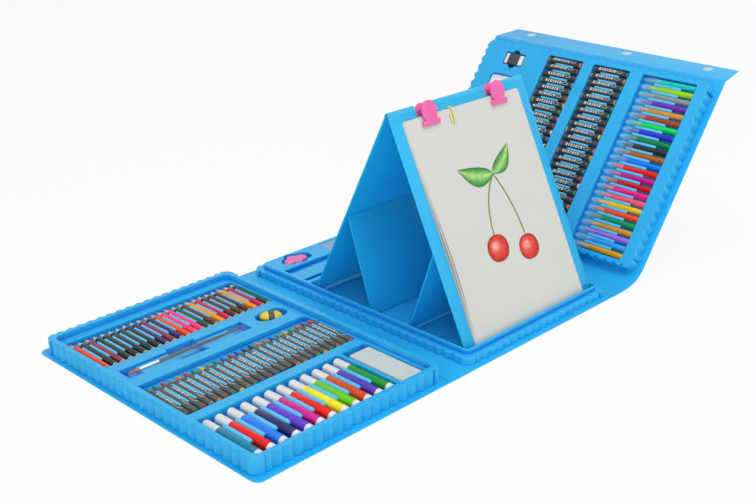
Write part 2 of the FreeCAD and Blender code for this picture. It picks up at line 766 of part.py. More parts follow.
def clip_box_block(name, gap, low_z, high_z):
    """The block of the clear clip box, or of its pocket."""
    return block(name, f"clip_box_offset - clip_box_length / 2 - {gap}",
                 f"clip_box_offset + clip_box_length / 2 + {gap}",
                 f"shelf_pocket_y - clip_box_width / 2 - {gap}",
                 f"shelf_pocket_y + clip_box_width / 2 + {gap}", low_z, high_z)


recess = recess_block("easel_recess", "zero", "sheet_thickness - cut_overrun", "middle_top + cut_overrun")
shelf_hollow = eased_block("shelf_hollow", ROUNDED, "nesting_corner_radius - tray_wall",
                           "tray_wall - lip_half_width", "lip_half_width - tray_wall",
                           "shelf_front + tray_wall", "lip_half_length - tray_wall",
                           "sheet_thickness - cut_overrun", "middle_top - tray_wall")
shelf_cups = [
    groove("wide_cup", "tray_wall", "wide_groove_setback", "wide_groove_width", "groove_half_length",
           "middle_top"),
    groove("narrow_cup", "tray_wall", "narrow_groove_setback", "narrow_groove_width",
           "narrow_groove_length - groove_half_length", "middle_top"),
    cloud("cloud_cup", "cloud_pocket_gap + tray_wall", "cloud_floor - tray_wall", "middle_top"),
    clip_box_block("clip_box_cup", "clip_box_gap + tray_wall", "clip_box_floor - tray_wall", "middle_top"),
]
shelf_mouths = [
    groove("wide_groove", "zero", "wide_groove_setback", "wide_groove_width", "groove_half_length",
           "middle_top + cut_overrun"),
    groove("narrow_groove", "zero", "narrow_groove_setback", "narrow_groove_width",
           "narrow_groove_length - groove_half_length", "middle_top + cut_overrun"),
    cloud("cloud_pocket", "cloud_pocket_gap", "cloud_floor", "middle_top + cut_overrun"),
    clip_box_block("clip_box_pocket", "clip_box_gap", "clip_box_floor", "middle_top + cut_overrun"),
]
middle_skin = cut("middle_skin", fused("middle_block", [middle_wall, lip]), [recess, shelf_hollow])
part(cut("middle_tray", fused("middle_cups", [middle_skin] + shelf_cups), shelf_mouths), "middle_tray")
part(recess_block("recess_floor", "seat_clearance", "sheet_thickness", "recess_bottom"), "recess_floor")
part(cloud("cloud_eraser", "zero", "cloud_floor + seat_clearance", "middle_top - seat_clearance"),
     "cloud_eraser")
part(clip_box_block("clear_clip_box", "zero", "clip_box_floor + seat_clearance", "middle_top"),
     "clear_clip_box")

# Left tray: a deep rim round a platform with pockets.
left_outer = fluted_block("left_outer", "left_tray_x", "sheet_thickness", "left_tray_height")
left_recess = eased_block("left_recess", ROUNDED, "nesting_corner_radius",
                          "left_tray_x - tray_half_width + rim_width",
                          "left_tray_x + tray_half_width - rim_width", "rim_width - tray_half_length",
                          "tray_half_length - rim_width", "left_platform", "left_top + cut_overrun")
left_hollow = hollow("left_hollow", "left_tray_x", "sheet_thickness", "left_platform")
corner = (BEVELLED, "pocket_corner_bevel")
left_pockets = (
    ("pencil", corner, "left_row_start", "left_row_end", "pencil_front", "pencil_back", "pencil_floor"),
    ("crayon", corner, "left_row_start", "left_row_end", "crayon_front", "crayon_back", "crayon_floor"),
    ("marker", corner, "left_row_start", "marker_row_end", "marker_front", "marker_back", "marker_floor"),
    ("sponge", corner, "sponge_start", "left_row_end", "marker_front", "marker_back", "marker_floor"),
    ("brush", corner, "slot_start", "slot_end", "slot_front", "slot_back", "slot_floor"),
    ("finger", corner, "slot_centre - finger_notch_length / 2", "slot_centre + finger_notch_length / 2",
     "slot_front - finger_notch_reach", "slot_back + finger_notch_reach", "slot_floor"),
    ("egg", (ROUNDED, "egg_pocket_radius"), "egg_x - egg_pocket_length / 2", "egg_x + egg_pocket_length / 2",
     "slot_middle - egg_pocket_width / 2", "slot_middle + egg_pocket_width / 2", "egg_floor"),
)
left_ribs = [
    snap_ribs("pencil_ribs", "pencil_count", "pencil_pitch", "pencil_rib_width", "left_row_start",
              "pencil_front", "pencil_back", "pencil_floor", "pencil_rib_height", "rib_length"),
    snap_ribs("crayon_ribs", "pencil_count", "pencil_pitch", "crayon_rib_width", "left_row_start",
              "crayon_front", "crayon_back", "crayon_floor", "crayon_rib_height", "rib_length"),
    snap_ribs("marker_ribs", "marker_count", "marker_pitch", "marker_rib_width", "left_row_start",
              "marker_front", "marker_back", "marker_floor", "marker_rib_height", "rib_length"),
    block("near_cradle", "slot_start + cradle_end_distance",
          "slot_start + cradle_end_distance + cradle_length", "slot_front", "slot_back", "slot_floor",
          "slot_floor + cradle_height"),
    block("far_cradle", "slot_end - cradle_end_distance - cradle_length", "slot_end - cradle_end_distance",
          "slot_front", "slot_back", "slot_floor", "slot_floor + cradle_height"),
]
left_skin = tray_shell("left_tray", left_outer, [left_recess, left_hollow], left_pockets, "left_platform")
part(fused("left_tray", [left_skin] + left_ribs), "left_tray")

# Right tray: a plain plateau with pockets, built flat on its panel and tipped up with it.
right_outer = fluted_block("right_outer", "right_tray_x", "half_sheet", "right_tray_height")
right_pockets = (
    ("pen", corner, "right_row_start", "right_row_end", "pen_front", "pen_back", "pen_floor"),
    ("near_pastel", corner, "right_row_start", "right_row_end", "near_pastel_front", "near_pastel_back",
     "pastel_floor"),
    ("far_pastel", corner, "right_row_start", "right_row_end", "far_pastel_front", "far_pastel_back",
     "pastel_floor"),
    ("eraser", corner, "eraser_low - eraser_pocket_gap", "eraser_high + eraser_pocket_gap",
     "far_column_y - eraser_length / 2 - eraser_pocket_gap",
     "far_column_y + eraser_length / 2 + eraser_pocket_gap", "far_floor"),
    ("eraser_notch", (ROUNDED, "notch_corner_radius"), "eraser_low - far_notch_radius",
     "eraser_high + far_notch_radius", "far_column_y - far_notch_radius", "far_column_y + far_notch_radius",
     "far_floor"),
    ("palette", corner, "palette_x - palette_width / 2 - palette_pocket_gap",
     "palette_x + palette_width / 2 + palette_pocket_gap",
     "far_column_y - palette_length / 2 - palette_pocket_gap",
     "far_column_y + palette_length / 2 + palette_pocket_gap", "far_floor"),
)
right_ribs = [snap_ribs("pen_ribs", "right_count", "right_pitch", "pen_rib_width", "right_row_start",
                        "pen_front", "pen_back", "pen_floor", "pen_rib_height", "rib_length")]
for column in ("near_pastel", "far_pastel"):
    right_ribs.append(snap_ribs(column + "_ribs", "right_count", "right_pitch", "pastel_rib_width",
                                "right_row_start", column + "_front", column + "_back", "pastel_floor",
                                "pastel_rib_height", "pastel_rib_length"))
right_skin = tray_shell("right_tray", right_outer,
                        [hollow("right_hollow", "right_tray_x", "half_sheet", "right_platform")],
                        right_pockets, "right_platform")
part(fused("right_tray", [right_skin] + right_ribs), "right_tray", right_wing_frame)

# Contents of the left tray.
seat = size("seat_clearance")
pencil_radius = size("pencil_width") / 2
barrel = size("pencil_barrel")
cone_end = barrel + size("pencil_cone")
lead_radius = size("pencil_lead_radius")
pencil_axis = size("pencil_floor") + seat + pencil_radius * math.cos(math.pi / 6)
point_end = cone_end + size("pencil_lead_length")
pencil = stick("pencil", STICK_SIDE_COUNT, [(0, pencil_radius), (barrel, pencil_radius),
                                            (cone_end, lead_radius)])
lead = stick("lead", STICK_SIDE_COUNT, [(cone_end, lead_radius), (point_end, size("pencil_point_radius"))])
for label, unit in (("colour_pencils", pencil), ("pencil_leads", lead)):
    stick_row(label, unit, "pencil_count", "pencil_pitch", "left_row_start", "pencil_front", pencil_axis)

crayon_radius = size("crayon_diameter") / 2
wrapper = size("crayon_wrapper")
shoulder = wrapper + size("crayon_shoulder")
crayon = stick("crayon", STICK_SIDE_COUNT, [(0, crayon_radius), (wrapper, crayon_radius),
                                            (shoulder, size("crayon_shoulder_radius")),
                                            (shoulder + size("crayon_tip"), size("crayon_tip_radius"))])
stick_row("wax_crayons", crayon, "pencil_count", "pencil_pitch", "left_row_start", "crayon_front",
          size("crayon_floor") + seat + crayon_radius)

marker_radius = size("marker_diameter") / 2
plug_end = size("marker_plug")
barrel_end = plug_end + size("marker_barrel")
cap_end = barrel_end + size("marker_cap")
slim_radius = marker_radius - size("marker_cap_step")
marker_axis = size("marker_floor") + seat + marker_radius
for label, stations in (("marker_end_plugs", [(0, slim_radius), (plug_end, slim_radius)]),
                        ("marker_barrels", [(plug_end, marker_radius), (barrel_end, marker_radius)]),
                        ("marker_caps", [(barrel_end, slim_radius), (cap_end, slim_radius)])):
    stick_row(label, stick(label + "_unit", MARKER_SIDE_COUNT, stations), "marker_count", "marker_pitch",
              "left_row_start", "marker_front", marker_axis)

bristle_end = size("brush_bristle_length")
ferrule_end = bristle_end + size("brush_ferrule_length")
handle_end = size("brush_length")
ferrule_radius = size("brush_ferrule_radius")
handle_radius = size("brush_handle_radius")
brush_lie = FreeCAD.Placement(V(size("slot_start") + size("brush_end_gap"), size("slot_middle"),
                                size("slot_floor") + size("cradle_height") + seat + handle_radius), ALONG_X)
tuft_radius = size("brush_tuft_radius")
brush_stations = {
    "brush_bristles": [(0, size("brush_bristle_tip_radius")), (bristle_end, tuft_radius)],
    "brush_ferrule": [(bristle_end, tuft_radius), (ferrule_end, ferrule_radius)],
    "brush_handle": [(ferrule_end, handle_radius), ((ferrule_end + handle_end) / 2, handle_radius),
                     (handle_end, size("brush_handle_tail_radius"))],
}
for label, stations in brush_stations.items():
    part(stick(label, MARKER_SIDE_COUNT, stations), label, brush_lie)


def egg_slice(name, shares, inset):
    """A slice of the egg through oval sections at shares of its half length, shrunk by an inset."""
    half_length = size("egg_length") / 2
    half_width = size("egg_width") / 2 - inset
    half_height = size("egg_height") / 2 - inset
    middle = V(size("egg_x"), size("slot_middle"), size("egg_floor") + seat + size("egg_height") / 2)
    lie = FreeCAD.Placement(middle, FreeCAD.Rotation(Z_AXIS, -size("egg_turn")))
    turns = [2 * math.pi * index / DISC_SIDE_COUNT for index in range(DISC_SIDE_COUNT)]
    rings = []
    for share in shares:
        narrowing = math.sqrt(1 - share * share)
        rings.append([lie.multVec(V(half_length * share, half_width * narrowing * math.cos(turn),
                                    half_height * narrowing * math.sin(turn))) for turn in turns])
    return faceted(name, rings)


def egg_core(name):
    """The slimmer middle of the egg, which the band goes round."""
    return egg_slice(name, (-EGG_BAND_SHARE, EGG_BAND_SHARE), size("egg_band_depth"))


EGG_BAND_SHARE = 0.27
EGG_END_SHARES = (EGG_BAND_SHARE, 0.5, 0.7, 0.85, 0.95, 0.99)
egg_ends = [egg_slice(f"egg_end_{side}", [side * share for share in EGG_END_SHARES], 0) for side in (-1, 1)]
part(fused("egg_sharpener", egg_ends + [egg_core("egg_middle")]), "egg_sharpener")
band_outer = egg_slice("egg_band_outer", (-EGG_BAND_SHARE, 0, EGG_BAND_SHARE), 0)
part(cut("egg_sharpener_band", band_outer, [egg_core("egg_band_bore")]), "egg_sharpener_band")
part(block("sponge", "sponge_start + sponge_left_gap", "left_row_end - sponge_gap",
           "marker_front + sponge_gap", "marker_back - sponge_back_gap", "marker_floor + seat_clearance",
           "marker_floor + seat_clearance + sponge_thickness"), "sponge")

# Contents of the right tray, in the frame of the tipped wing.
pen_radius = size("pen_diameter") / 2
pen_end = size("pen_barrel")
cap_end = pen_end + size("pen_cap")
cap_shoulder = cap_end - size("pen_cap_nose")
pen_axis = size("pen_floor") + seat + pen_radius
pen = stick("pen", STICK_SIDE_COUNT, [(0, pen_radius), (pen_end, pen_radius)])
pen_cap = stick("pen_cap", STICK_SIDE_COUNT, [(pen_end, pen_radius), (cap_shoulder, pen_radius),
                                              (cap_end, size("pen_cap_nose_radius"))])
for label, unit in (("pen_barrels", pen), ("pen_caps", pen_cap)):
    stick_row(label, unit, "right_count", "right_pitch", "right_row_start", "pen_front", pen_axis,
              placement=right_wing_frame)
pastel_radius = size("pastel_diameter") / 2
pastel = stick("pastel", STICK_SIDE_COUNT, [(0, pastel_radius), (size("pastel_stick"), pastel_radius)])
for label, front in (("oil_pastels_near", "near_pastel_front"), ("oil_pastels_far", "far_pastel_front")):
    stick_row(label, pastel, "right_count", "right_pitch", "right_row_start", front,
              size("pastel_floor") + seat + pastel_radius, placement=right_wing_frame)


def eraser_block(name, length, grow):
    """A block round the eraser's centre, grown in its thickness and width."""
    return block(name, f"eraser_low - ({grow})", f"eraser_high + ({grow})",
                 f"far_column_y - {length} / 2", f"far_column_y + {length} / 2",
                 f"eraser_bottom - ({grow})", f"eraser_bottom + eraser_height + {grow}")


part(eraser_block("eraser", "eraser_length", "zero"), "eraser", right_wing_frame)
sleeve_outer = eraser_block("sleeve_outer", "eraser_sleeve_length", "eraser_sleeve_fit + eraser_sleeve_wall")
sleeve_bore = eraser_block("sleeve_bore", "eraser_length", "eraser_sleeve_fit")
part(cut("eraser_sleeve", sleeve_outer, [sleeve_bore]), "eraser_sleeve", right_wing_frame)
palette_block = block("palette_block", "palette_x - palette_width / 2", "palette_x + palette_width / 2",
                      "far_column_y - palette_length / 2", "far_column_y + palette_length / 2",
                      "far_floor + seat_clearance", "far_floor + seat_clearance + palette_thickness")
wells = [disc(f"well_{across}_{along}", "palette_well_radius", "palette_well_depth + cut_overrun",
              f"palette_x + {across} * palette_width / 4", f"far_column_y + {along} * palette_length / 4",
              "far_floor + seat_clearance + palette_thickness - palette_well_depth")
         for across in (-1, 1) for along in (-1, 1)]
part(cut("white_palette", palette_block, wells), "white_palette", right_wing_frame)

# Easel: two boards that meet at the ridge, each with a strut on its inner face.
lean = math.radians(size("board_angle"))
rise = V(0, math.cos(lean), math.sin(lean))
front_foot = V(0, size("easel_foot_y"), size("easel_foot_z"))
back_foot = front_foot + V(0, 2 * size("board_length") * math.cos(lean), 0)
front_frame = FreeCAD.Placement(front_foot, FreeCAD.Rotation(X_AXIS, size("board_angle")))
back_frame = FreeCAD.Placement(back_foot, FreeCAD.Rotation(Z_AXIS, 180).multiply(
    FreeCAD.Rotation(X_AXIS, size("board_angle"))))


def easel_board(label, notch_depth, clips, frame):
    """One board of the easel: a notch in its ridge edge for each clip and a flange along its foot."""
    corners = [("-easel_half_width", "zero"), ("easel_half_width", "zero"),
               ("easel_half_width", "board_length")]
    for clip in clips:
        corners += [(f"{clip} + notch_half_width", "board_length"),
                    (f"{clip} + notch_half_width", f"board_length - {notch_depth}"),
                    (f"{clip} - notch_half_width", f"board_length - {notch_depth}"),
                    (f"{clip} - notch_half_width", "board_length")]
    corners.append(("-easel_half_width", "board_length"))
    flange = block(label + "_flange", "-easel_half_width", "easel_half_width", "zero", "foot_flange_width",
                   "zero", "foot_flange_thickness")
    flange.Placement.Rotation = FreeCAD.Rotation(X_AXIS, -size("board_angle"))
    return part(fused(label, [flat_plate(label, corners, "board_thickness"), flange]), label, frame)


def strut_frame(frame, share, side):
    """Where a strut hangs from a board: its hinge on the board's inner face and its lean."""
    hinge = frame.multVec(V(0, size(share) * size("board_length"), -size("strut_setback")))
    swing = math.radians(size("strut_angle"))
    down = V(0, side * math.sin(swing), -math.cos(swing))
    across = V(side, 0, 0)
    return FreeCAD.Placement(hinge, FreeCAD.Rotation(down, across, down.cross(across)))


easel_board("easel_front_board", "front_notch_depth", ("right_clip_offset", "left_clip_offset"), front_frame)
easel_board("easel_back_board", "back_notch_depth", ("-left_clip_offset", "-right_clip_offset"), back_frame)
part(hinged_plate("easel_front_strut", "front_strut_length", "strut_width", "board_half_thickness"),
     "easel_front_strut", strut_frame(front_frame, "front_strut_share", 1))
part(hinged_plate("easel_back_strut", "back_strut_length", "strut_width", "board_half_thickness"),
     "easel_back_strut", strut_frame(back_frame, "back_strut_share", -1))

# Paper on the easel, with a wire clip on its top edge.
part(block("paper_pad", "paper_offset - paper_width / 2", "paper_offset + paper_width / 2",
           "paper_top - paper_length", "paper_top", "board_thickness", "paper_face"),
     "paper_pad", front_frame)


def bent_wire(name, path, radius):
    """A wire along straight runs in a plane, mitred where they meet."""
    steps = [(following - point).normalize() for point, following in zip(path, path[1:])]
    rings = []
    for point, before, after in zip(path, steps[:1] + steps, steps + steps[-1:]):
        half_bend = before.getAngle(after) / 2
        side = Z_AXIS.cross(before + after).normalize() * (radius / math.cos(half_bend))
        turns = [2 * math.pi * index / STICK_SIDE_COUNT for index in range(STICK_SIDE_COUNT)]
        rings.append([point + side * math.cos(turn) + Z_AXIS * (radius * math.sin(turn)) for turn in turns])
    return faceted(name, rings)


wire_radius = size("paper_clip_wire") / 2
wire_step = size("paper_clip_wire") + size("paper_clip_wire_gap")
outer_half = size("paper_clip_width") / 2
inner_half = outer_half - wire_step
clip_top = size("paper_top") + size("paper_clip_overhang") - outer_half
clip_bottom = clip_top + outer_half - size("paper_clip_length")
turn_half = (outer_half + inner_half) / 2
start_y = clip_bottom + size("paper_clip_length") / 3
clip_path = [V(-outer_half, start_y, 0)]
for centre, turn_radius, side in ((V(0, clip_top, 0), outer_half, -1),
                                  (V(outer_half - turn_half, clip_bottom + turn_half, 0), turn_half, 1),
                                  (V(0, clip_top - wire_step, 0), inner_half, -1)):
    for step in range(TURN_STEP_COUNT + 1):
        bend = FreeCAD.Rotation(Z_AXIS, -180 * step / TURN_STEP_COUNT)
        clip_path.append(centre + bend.multVec(X_AXIS * (side * turn_radius)))
clip_path.append(V(inner_half, start_y, 0))
wire = bent_wire("paper_clip", clip_path, wire_radius)
part(wire, "paper_clip", front_frame.multiply(FreeCAD.Placement(
    V(size("paper_clip_offset"), 0, size("paper_face") + wire_radius + seat), FreeCAD.Rotation())))


def lever(name, lug_offset, bore_radius):
    """A clip lever lying flat: a jaw bar, an oval thumb lobe and two lugs bored for the pin."""
    bar = block(name + "_bar", "-lever_bar_width / 2", "lever_bar_width / 2", "zero", "lever_bar_height",
                "zero", "lever_thickness")
    oval = doc.addObject("Part::Ellipse", name + "_oval")
    bind(oval, MajorRadius="lever_lobe_half_length", MinorRadius="lever_lobe_width / 2",
         Placement__Base__y="lever_length - lever_lobe_half_length")
    oval.Placement.Rotation = FreeCAD.Rotation(Z_AXIS, 90)
    lobe = doc.addObject("Part::Extrusion", name + "_lobe")
    lobe.Base = oval
    lobe.DirMode = "Custom"
    lobe.Dir = Z_AXIS
    lobe.Solid = True
    bind(lobe, LengthFwd="lever_thickness")
    lugs = [block(f"{name}_lug_{side}", f"{side} * {lug_offset} - lug_width / 2",
                  f"{side} * {lug_offset} + lug_width / 2", "lever_pivot_y - lug_reach",
                  "lever_pivot_y + lug_reach", "-lever_pivot_depth - lug_reach", "lever_thickness / 2")
            for side in (-1, 1)]
    bore = round_bar(name + "_bore", bore_radius, "lever_bar_width", "-lever_bar_width / 2", "lever_pivot_y",
                     "-lever_pivot_depth")
    bore.Placement.Rotation = ALONG_X
    return cut(name, fused(name + "_blank", [bar, lobe] + lugs), [bore])


def spring_leaf(name):
    """A bent leaf spring round the pin: a half ring with two straight legs, its axis along Z."""
    ring = cut(name + "_half", round_bar(name + "_outer", "clip_spring_outer", "clip_spring_width"),
               [round_bar(name + "_inner", "clip_spring_radius", "clip_spring_width"),
                block(name + "_lower", "-2 * clip_spring_outer", "2 * clip_spring_outer",
                      "-2 * clip_spring_outer", "zero", "-cut_overrun", "clip_spring_width + cut_overrun")])
    legs = [block(f"{name}_leg_{side}", low, high, "-clip_spring_leg", "zero", "zero", "clip_spring_width")
            for side, low, high in (("front", "clip_spring_radius", "clip_spring_outer"),
                                    ("rear", "-clip_spring_outer", "-clip_spring_radius"))]
    return fused(name, [ring] + legs)


def spring_clip(side, offset):
    """One clip on the ridge: a lever on each side of the board, the pin and the spring."""
    tip = V(size(offset), size("clip_tip"), 0)
    front_lie = FreeCAD.Placement(tip + V(0, 0, size("paper_face")),
                                  FreeCAD.Rotation(X_AXIS, size("lever_angle")))
    rear_lie = FreeCAD.Placement(tip, FreeCAD.Rotation(X_AXIS, -size("lever_angle")).multiply(
        FreeCAD.Rotation(Y_AXIS, 180)))
    pin_centre = front_lie.multVec(V(0, size("lever_pivot_y"), -size("lever_pivot_depth")))
    part(lever(f"{side}_clip_front_lever", "front_lug_offset", "clip_pin_radius + clip_pin_clearance"),
         f"{side}_clip_front_lever", front_frame.multiply(front_lie))
    part(lever(f"{side}_clip_rear_lever", "rear_lug_offset", "clip_pin_radius"),
         f"{side}_clip_rear_lever", front_frame.multiply(rear_lie))
    pin_length = size("clip_pin_length")
    part(round_bar(f"{side}_clip_pin", "clip_pin_radius", "clip_pin_length"), f"{side}_clip_pin",
         front_frame.multiply(FreeCAD.Placement(pin_centre - X_AXIS * (pin_length / 2), ALONG_X)))
    spring_turn = FreeCAD.Rotation(Z_AXIS, Y_AXIS, X_AXIS * -1)
    part(spring_leaf(f"{side}_clip_spring"), f"{side}_clip_spring", front_frame.multiply(FreeCAD.Placement(
        pin_centre + X_AXIS * (size("clip_spring_width") / 2), spring_turn)))


spring_clip("left", "left_clip_offset")
spring_clip("right", "right_clip_offset")

# Every object has to be sound before anything is written.
doc.recompute()
for item in doc.Objects:
    if "Invalid" in item.State or "Error" in item.State:
        raise RuntimeError(f"{item.Name} did not build: {item.State}")
for item in parts:
    if item.Shape.isNull() or not item.Shape.isValid() or not item.Shape.Solids:
        raise RuntimeError(f"{item.Label} is not a sound solid")
os.makedirs("parts", exist_ok=True)
for item in parts:
    item.Shape.exportStep(os.path.join("parts", item.Label + ".step"))
    box = item.Shape.BoundBox
    print(f"{item.Label}: {len(item.Shape.Solids)} solids, {item.Shape.Volume / 1000:.2f} cm3, "
          f"x {box.XMin:.1f} to {box.XMax:.1f}, y {box.YMin:.1f} to {box.YMax:.1f}, "
          f"z {box.ZMin:.1f} to {box.ZMax:.1f}")
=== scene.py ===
# %% [markdown]
# # A folding art supply case
# The case is one creased plastic sheet that carries three moulded trays of drawing tools, with a folding
# easel standing in the middle tray. The solids come in as a fixed frame, and every step below dresses one
# group of pieces. Lengths are written in millimetres and shrunk to metres only when a piece is finished.

# %% Loading the frame
import math

import bmesh
import bpy
from mathutils import Matrix, Vector


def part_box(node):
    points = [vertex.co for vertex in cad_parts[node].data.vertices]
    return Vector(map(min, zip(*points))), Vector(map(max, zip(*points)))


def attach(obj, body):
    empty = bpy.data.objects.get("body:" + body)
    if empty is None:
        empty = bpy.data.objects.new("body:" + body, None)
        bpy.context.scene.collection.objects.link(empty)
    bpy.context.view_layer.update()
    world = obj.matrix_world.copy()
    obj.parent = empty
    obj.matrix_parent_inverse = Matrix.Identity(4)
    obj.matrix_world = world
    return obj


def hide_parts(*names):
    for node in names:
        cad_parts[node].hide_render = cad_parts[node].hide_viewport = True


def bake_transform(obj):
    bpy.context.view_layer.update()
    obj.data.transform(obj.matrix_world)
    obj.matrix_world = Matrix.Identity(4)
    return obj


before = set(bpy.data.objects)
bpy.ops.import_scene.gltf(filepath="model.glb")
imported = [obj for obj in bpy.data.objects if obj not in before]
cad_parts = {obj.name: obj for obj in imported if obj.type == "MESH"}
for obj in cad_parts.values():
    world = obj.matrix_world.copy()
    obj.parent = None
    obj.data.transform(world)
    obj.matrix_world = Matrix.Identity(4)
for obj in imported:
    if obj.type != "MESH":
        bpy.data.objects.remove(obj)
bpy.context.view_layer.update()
scene = bpy.context.scene
MILLIMETRES = Matrix.Scale(0.001, 4)


def shown(name, data):
    """A new object in the scene for a mesh, a curve, a lamp or a camera."""
    made = bpy.data.objects.new(name, data)
    scene.collection.objects.link(made)
    return made


# %% [markdown]
# ## The camera
# The photograph looks down the row of panels from the front left. The angles were found by matching the
# corners of the trays and of the easel, so the camera is built from them rather than from a look-at rule.

# %% Camera
LENS, CAMERA_PLACE = 57.6, (-1.08958, -0.98578, 0.66541)
AZIMUTH, RISE, ROLL = (math.radians(angle) for angle in (-45.38, 22.79, -0.25))
back = Vector((math.sin(AZIMUTH) * math.cos(RISE), -math.cos(AZIMUTH) * math.cos(RISE), math.sin(RISE)))
level = Vector((0, 0, 1)).cross(back).normalized()
right = level * math.cos(ROLL) + back.cross(level) * math.sin(ROLL)
turned = Matrix((right, back.cross(right), back)).transposed().to_4x4()
camera = shown("camera", bpy.data.cameras.new("camera"))
camera.data.lens = LENS
camera.matrix_world = Matrix.Translation(CAMERA_PLACE) @ turned
scene.camera = camera
scene.view_settings.view_transform = "Standard"
print("camera at", [round(length, 3) for length in camera.location])

# %% [markdown]
# ## Nodes and colours
# A material is a small tree of nodes. One function adds a node, sets it up and links its inputs, and one
# turns the usual hex colours into the linear values that the shader needs.

# %% Node and colour helpers
def node(tree, kind, links=None, **settings):
    """Adds a node; links holds values, sockets, or nodes whose first output is meant, by input."""
    made = tree.nodes.new(kind)
    for name, value in settings.items():
        setattr(made, name, value)
    for name, value in (links or {}).items():
        if isinstance(value, bpy.types.Node):
            value = value.outputs[0]
        if isinstance(value, bpy.types.NodeSocket):
            tree.links.new(value, made.inputs[name])
        else:
            made.inputs[name].default_value = value
    return made


def colour(code):
    """A hex colour as linear red, green, blue and alpha."""
    shares = [int(code[place:place + 2], 16) / 255 for place in (0, 2, 4)]
    linear = [share / 12.92 if share < 0.04045 else ((share + 0.055) / 1.055) ** 2.4 for share in shares]
    return linear + [1.0]


print("the grey 808080 is", round(colour("808080")[0], 3), "in linear light")

# %% [markdown]
# ## Lamps
# A catalogue picture has a broad soft light overhead, a large one far to the front left and a weak one to
# the front right. Square area lamps give such light, and their size is what softens the shadows.

# %% Lamps
def lamp(name, watts, size, place, target):
    """A square soft lamp that looks at a point; lengths in metres."""
    made = shown(name, bpy.data.lights.new(name, "AREA"))
    made.data.energy = watts
    made.data.size = size
    aim = Vector(target) - Vector(place)
    made.matrix_world = Matrix.Translation(place) @ aim.to_track_quat("-Z", "Y").to_matrix().to_4x4()


lamp("overhead_lamp", 28, 2.0, (-0.3, -0.5, 2.4), (0, 0, 0))
lamp("front_lamp", 8, 1.6, (0.7, -2.3, 1.2), (0, 0, 0.1))
lamp("side_lamp", 36, 2.4, (-3.2, -2.1, 1.3), (0, 0, 0.1))
print("three lamps hung")

# %% [markdown]
# ## Background and floor
# The ground of the picture is white. That white comes from Light Path, which tells a ray that shows a
# surface from one that lights it, so the lamps can stay at a plain level. The floor is part plain white and
# part lit paper, so that a trace of the shadow is kept.

# %% World and floor
ROOM_LIGHT, PLAIN_WHITE = 0.46, 0.9
FLOOR_HALF, FLOOR_Z = 6.0, -0.0005


def seen_rays(tree):
    """Gives 1 to a ray that shows a surface, straight, by gloss or through glass, and 0 to the others."""
    rays = node(tree, "ShaderNodeLightPath").outputs
    seen = rays["Is Camera Ray"]
    for kind in ("Is Glossy Ray", "Is Transmission Ray"):
        seen = node(tree, "ShaderNodeMath", {0: seen, 1: rays[kind]}, operation="MAXIMUM")
    return seen


world = bpy.data.worlds.new("studio")
world.use_nodes = True
scene.world = world
tree = world.node_tree
strength = node(tree, "ShaderNodeMapRange", {"Value": seen_rays(tree), "To Min": ROOM_LIGHT, "To Max": 1.0})
sky = tree.nodes["Background"]
sky.inputs["Color"].default_value = (1, 1, 1, 1)
tree.links.new(strength.outputs[0], sky.inputs["Strength"])

# Matt paper gives the floor a soft shadow and no reflection.
floor_paper = bpy.data.materials.new("matt white paper backdrop")
floor_paper.use_nodes = True
tree = floor_paper.node_tree
shader = tree.nodes["Principled BSDF"]
shader.inputs["Base Color"].default_value = colour("F4F4F4")
shader.inputs["Roughness"].default_value = 0.9
share = node(tree, "ShaderNodeMath", {0: seen_rays(tree), 1: PLAIN_WHITE}, operation="MULTIPLY")
white = node(tree, "ShaderNodeEmission", {"Color": (1, 1, 1, 1), "Strength": 1.0})
ground = node(tree, "ShaderNodeMixShader", {0: share, 1: shader, 2: white})
tree.links.new(ground.outputs[0], tree.nodes["Material Output"].inputs["Surface"])
backdrop = bpy.data.meshes.new("floor")
floor_corners = [(x * FLOOR_HALF, y * FLOOR_HALF, FLOOR_Z) for x, y in ((-1, -1), (1, -1), (1, 1), (-1, 1))]
backdrop.from_pydata(floor_corners, [], [(0, 1, 2, 3)])
backdrop.materials.append(floor_paper)
ground_plate = shown("floor", backdrop)
print("white floor of", 2 * FLOOR_HALF, "m")

# %% [markdown]
# ## A common finish
# Most pieces here are moulded or lacquered, and what the eye reads on them is the same two things: the
# colour wanders a little over a patch of some millimetres or centimetres, and the skin has a fine relief
# that breaks up the shine. Both are noises whose scale comes from a size in millimetres. A real moulded
# skin is finer than the picture can show, so its grain is drawn coarser. The colour is a hex value, or the
# paint that each stick of a row carries as its own attribute.

# %% Common finish
NOISE_LOW, NOISE_HIGH, GLOSS_SWING = 0.3, 0.7, 0.06


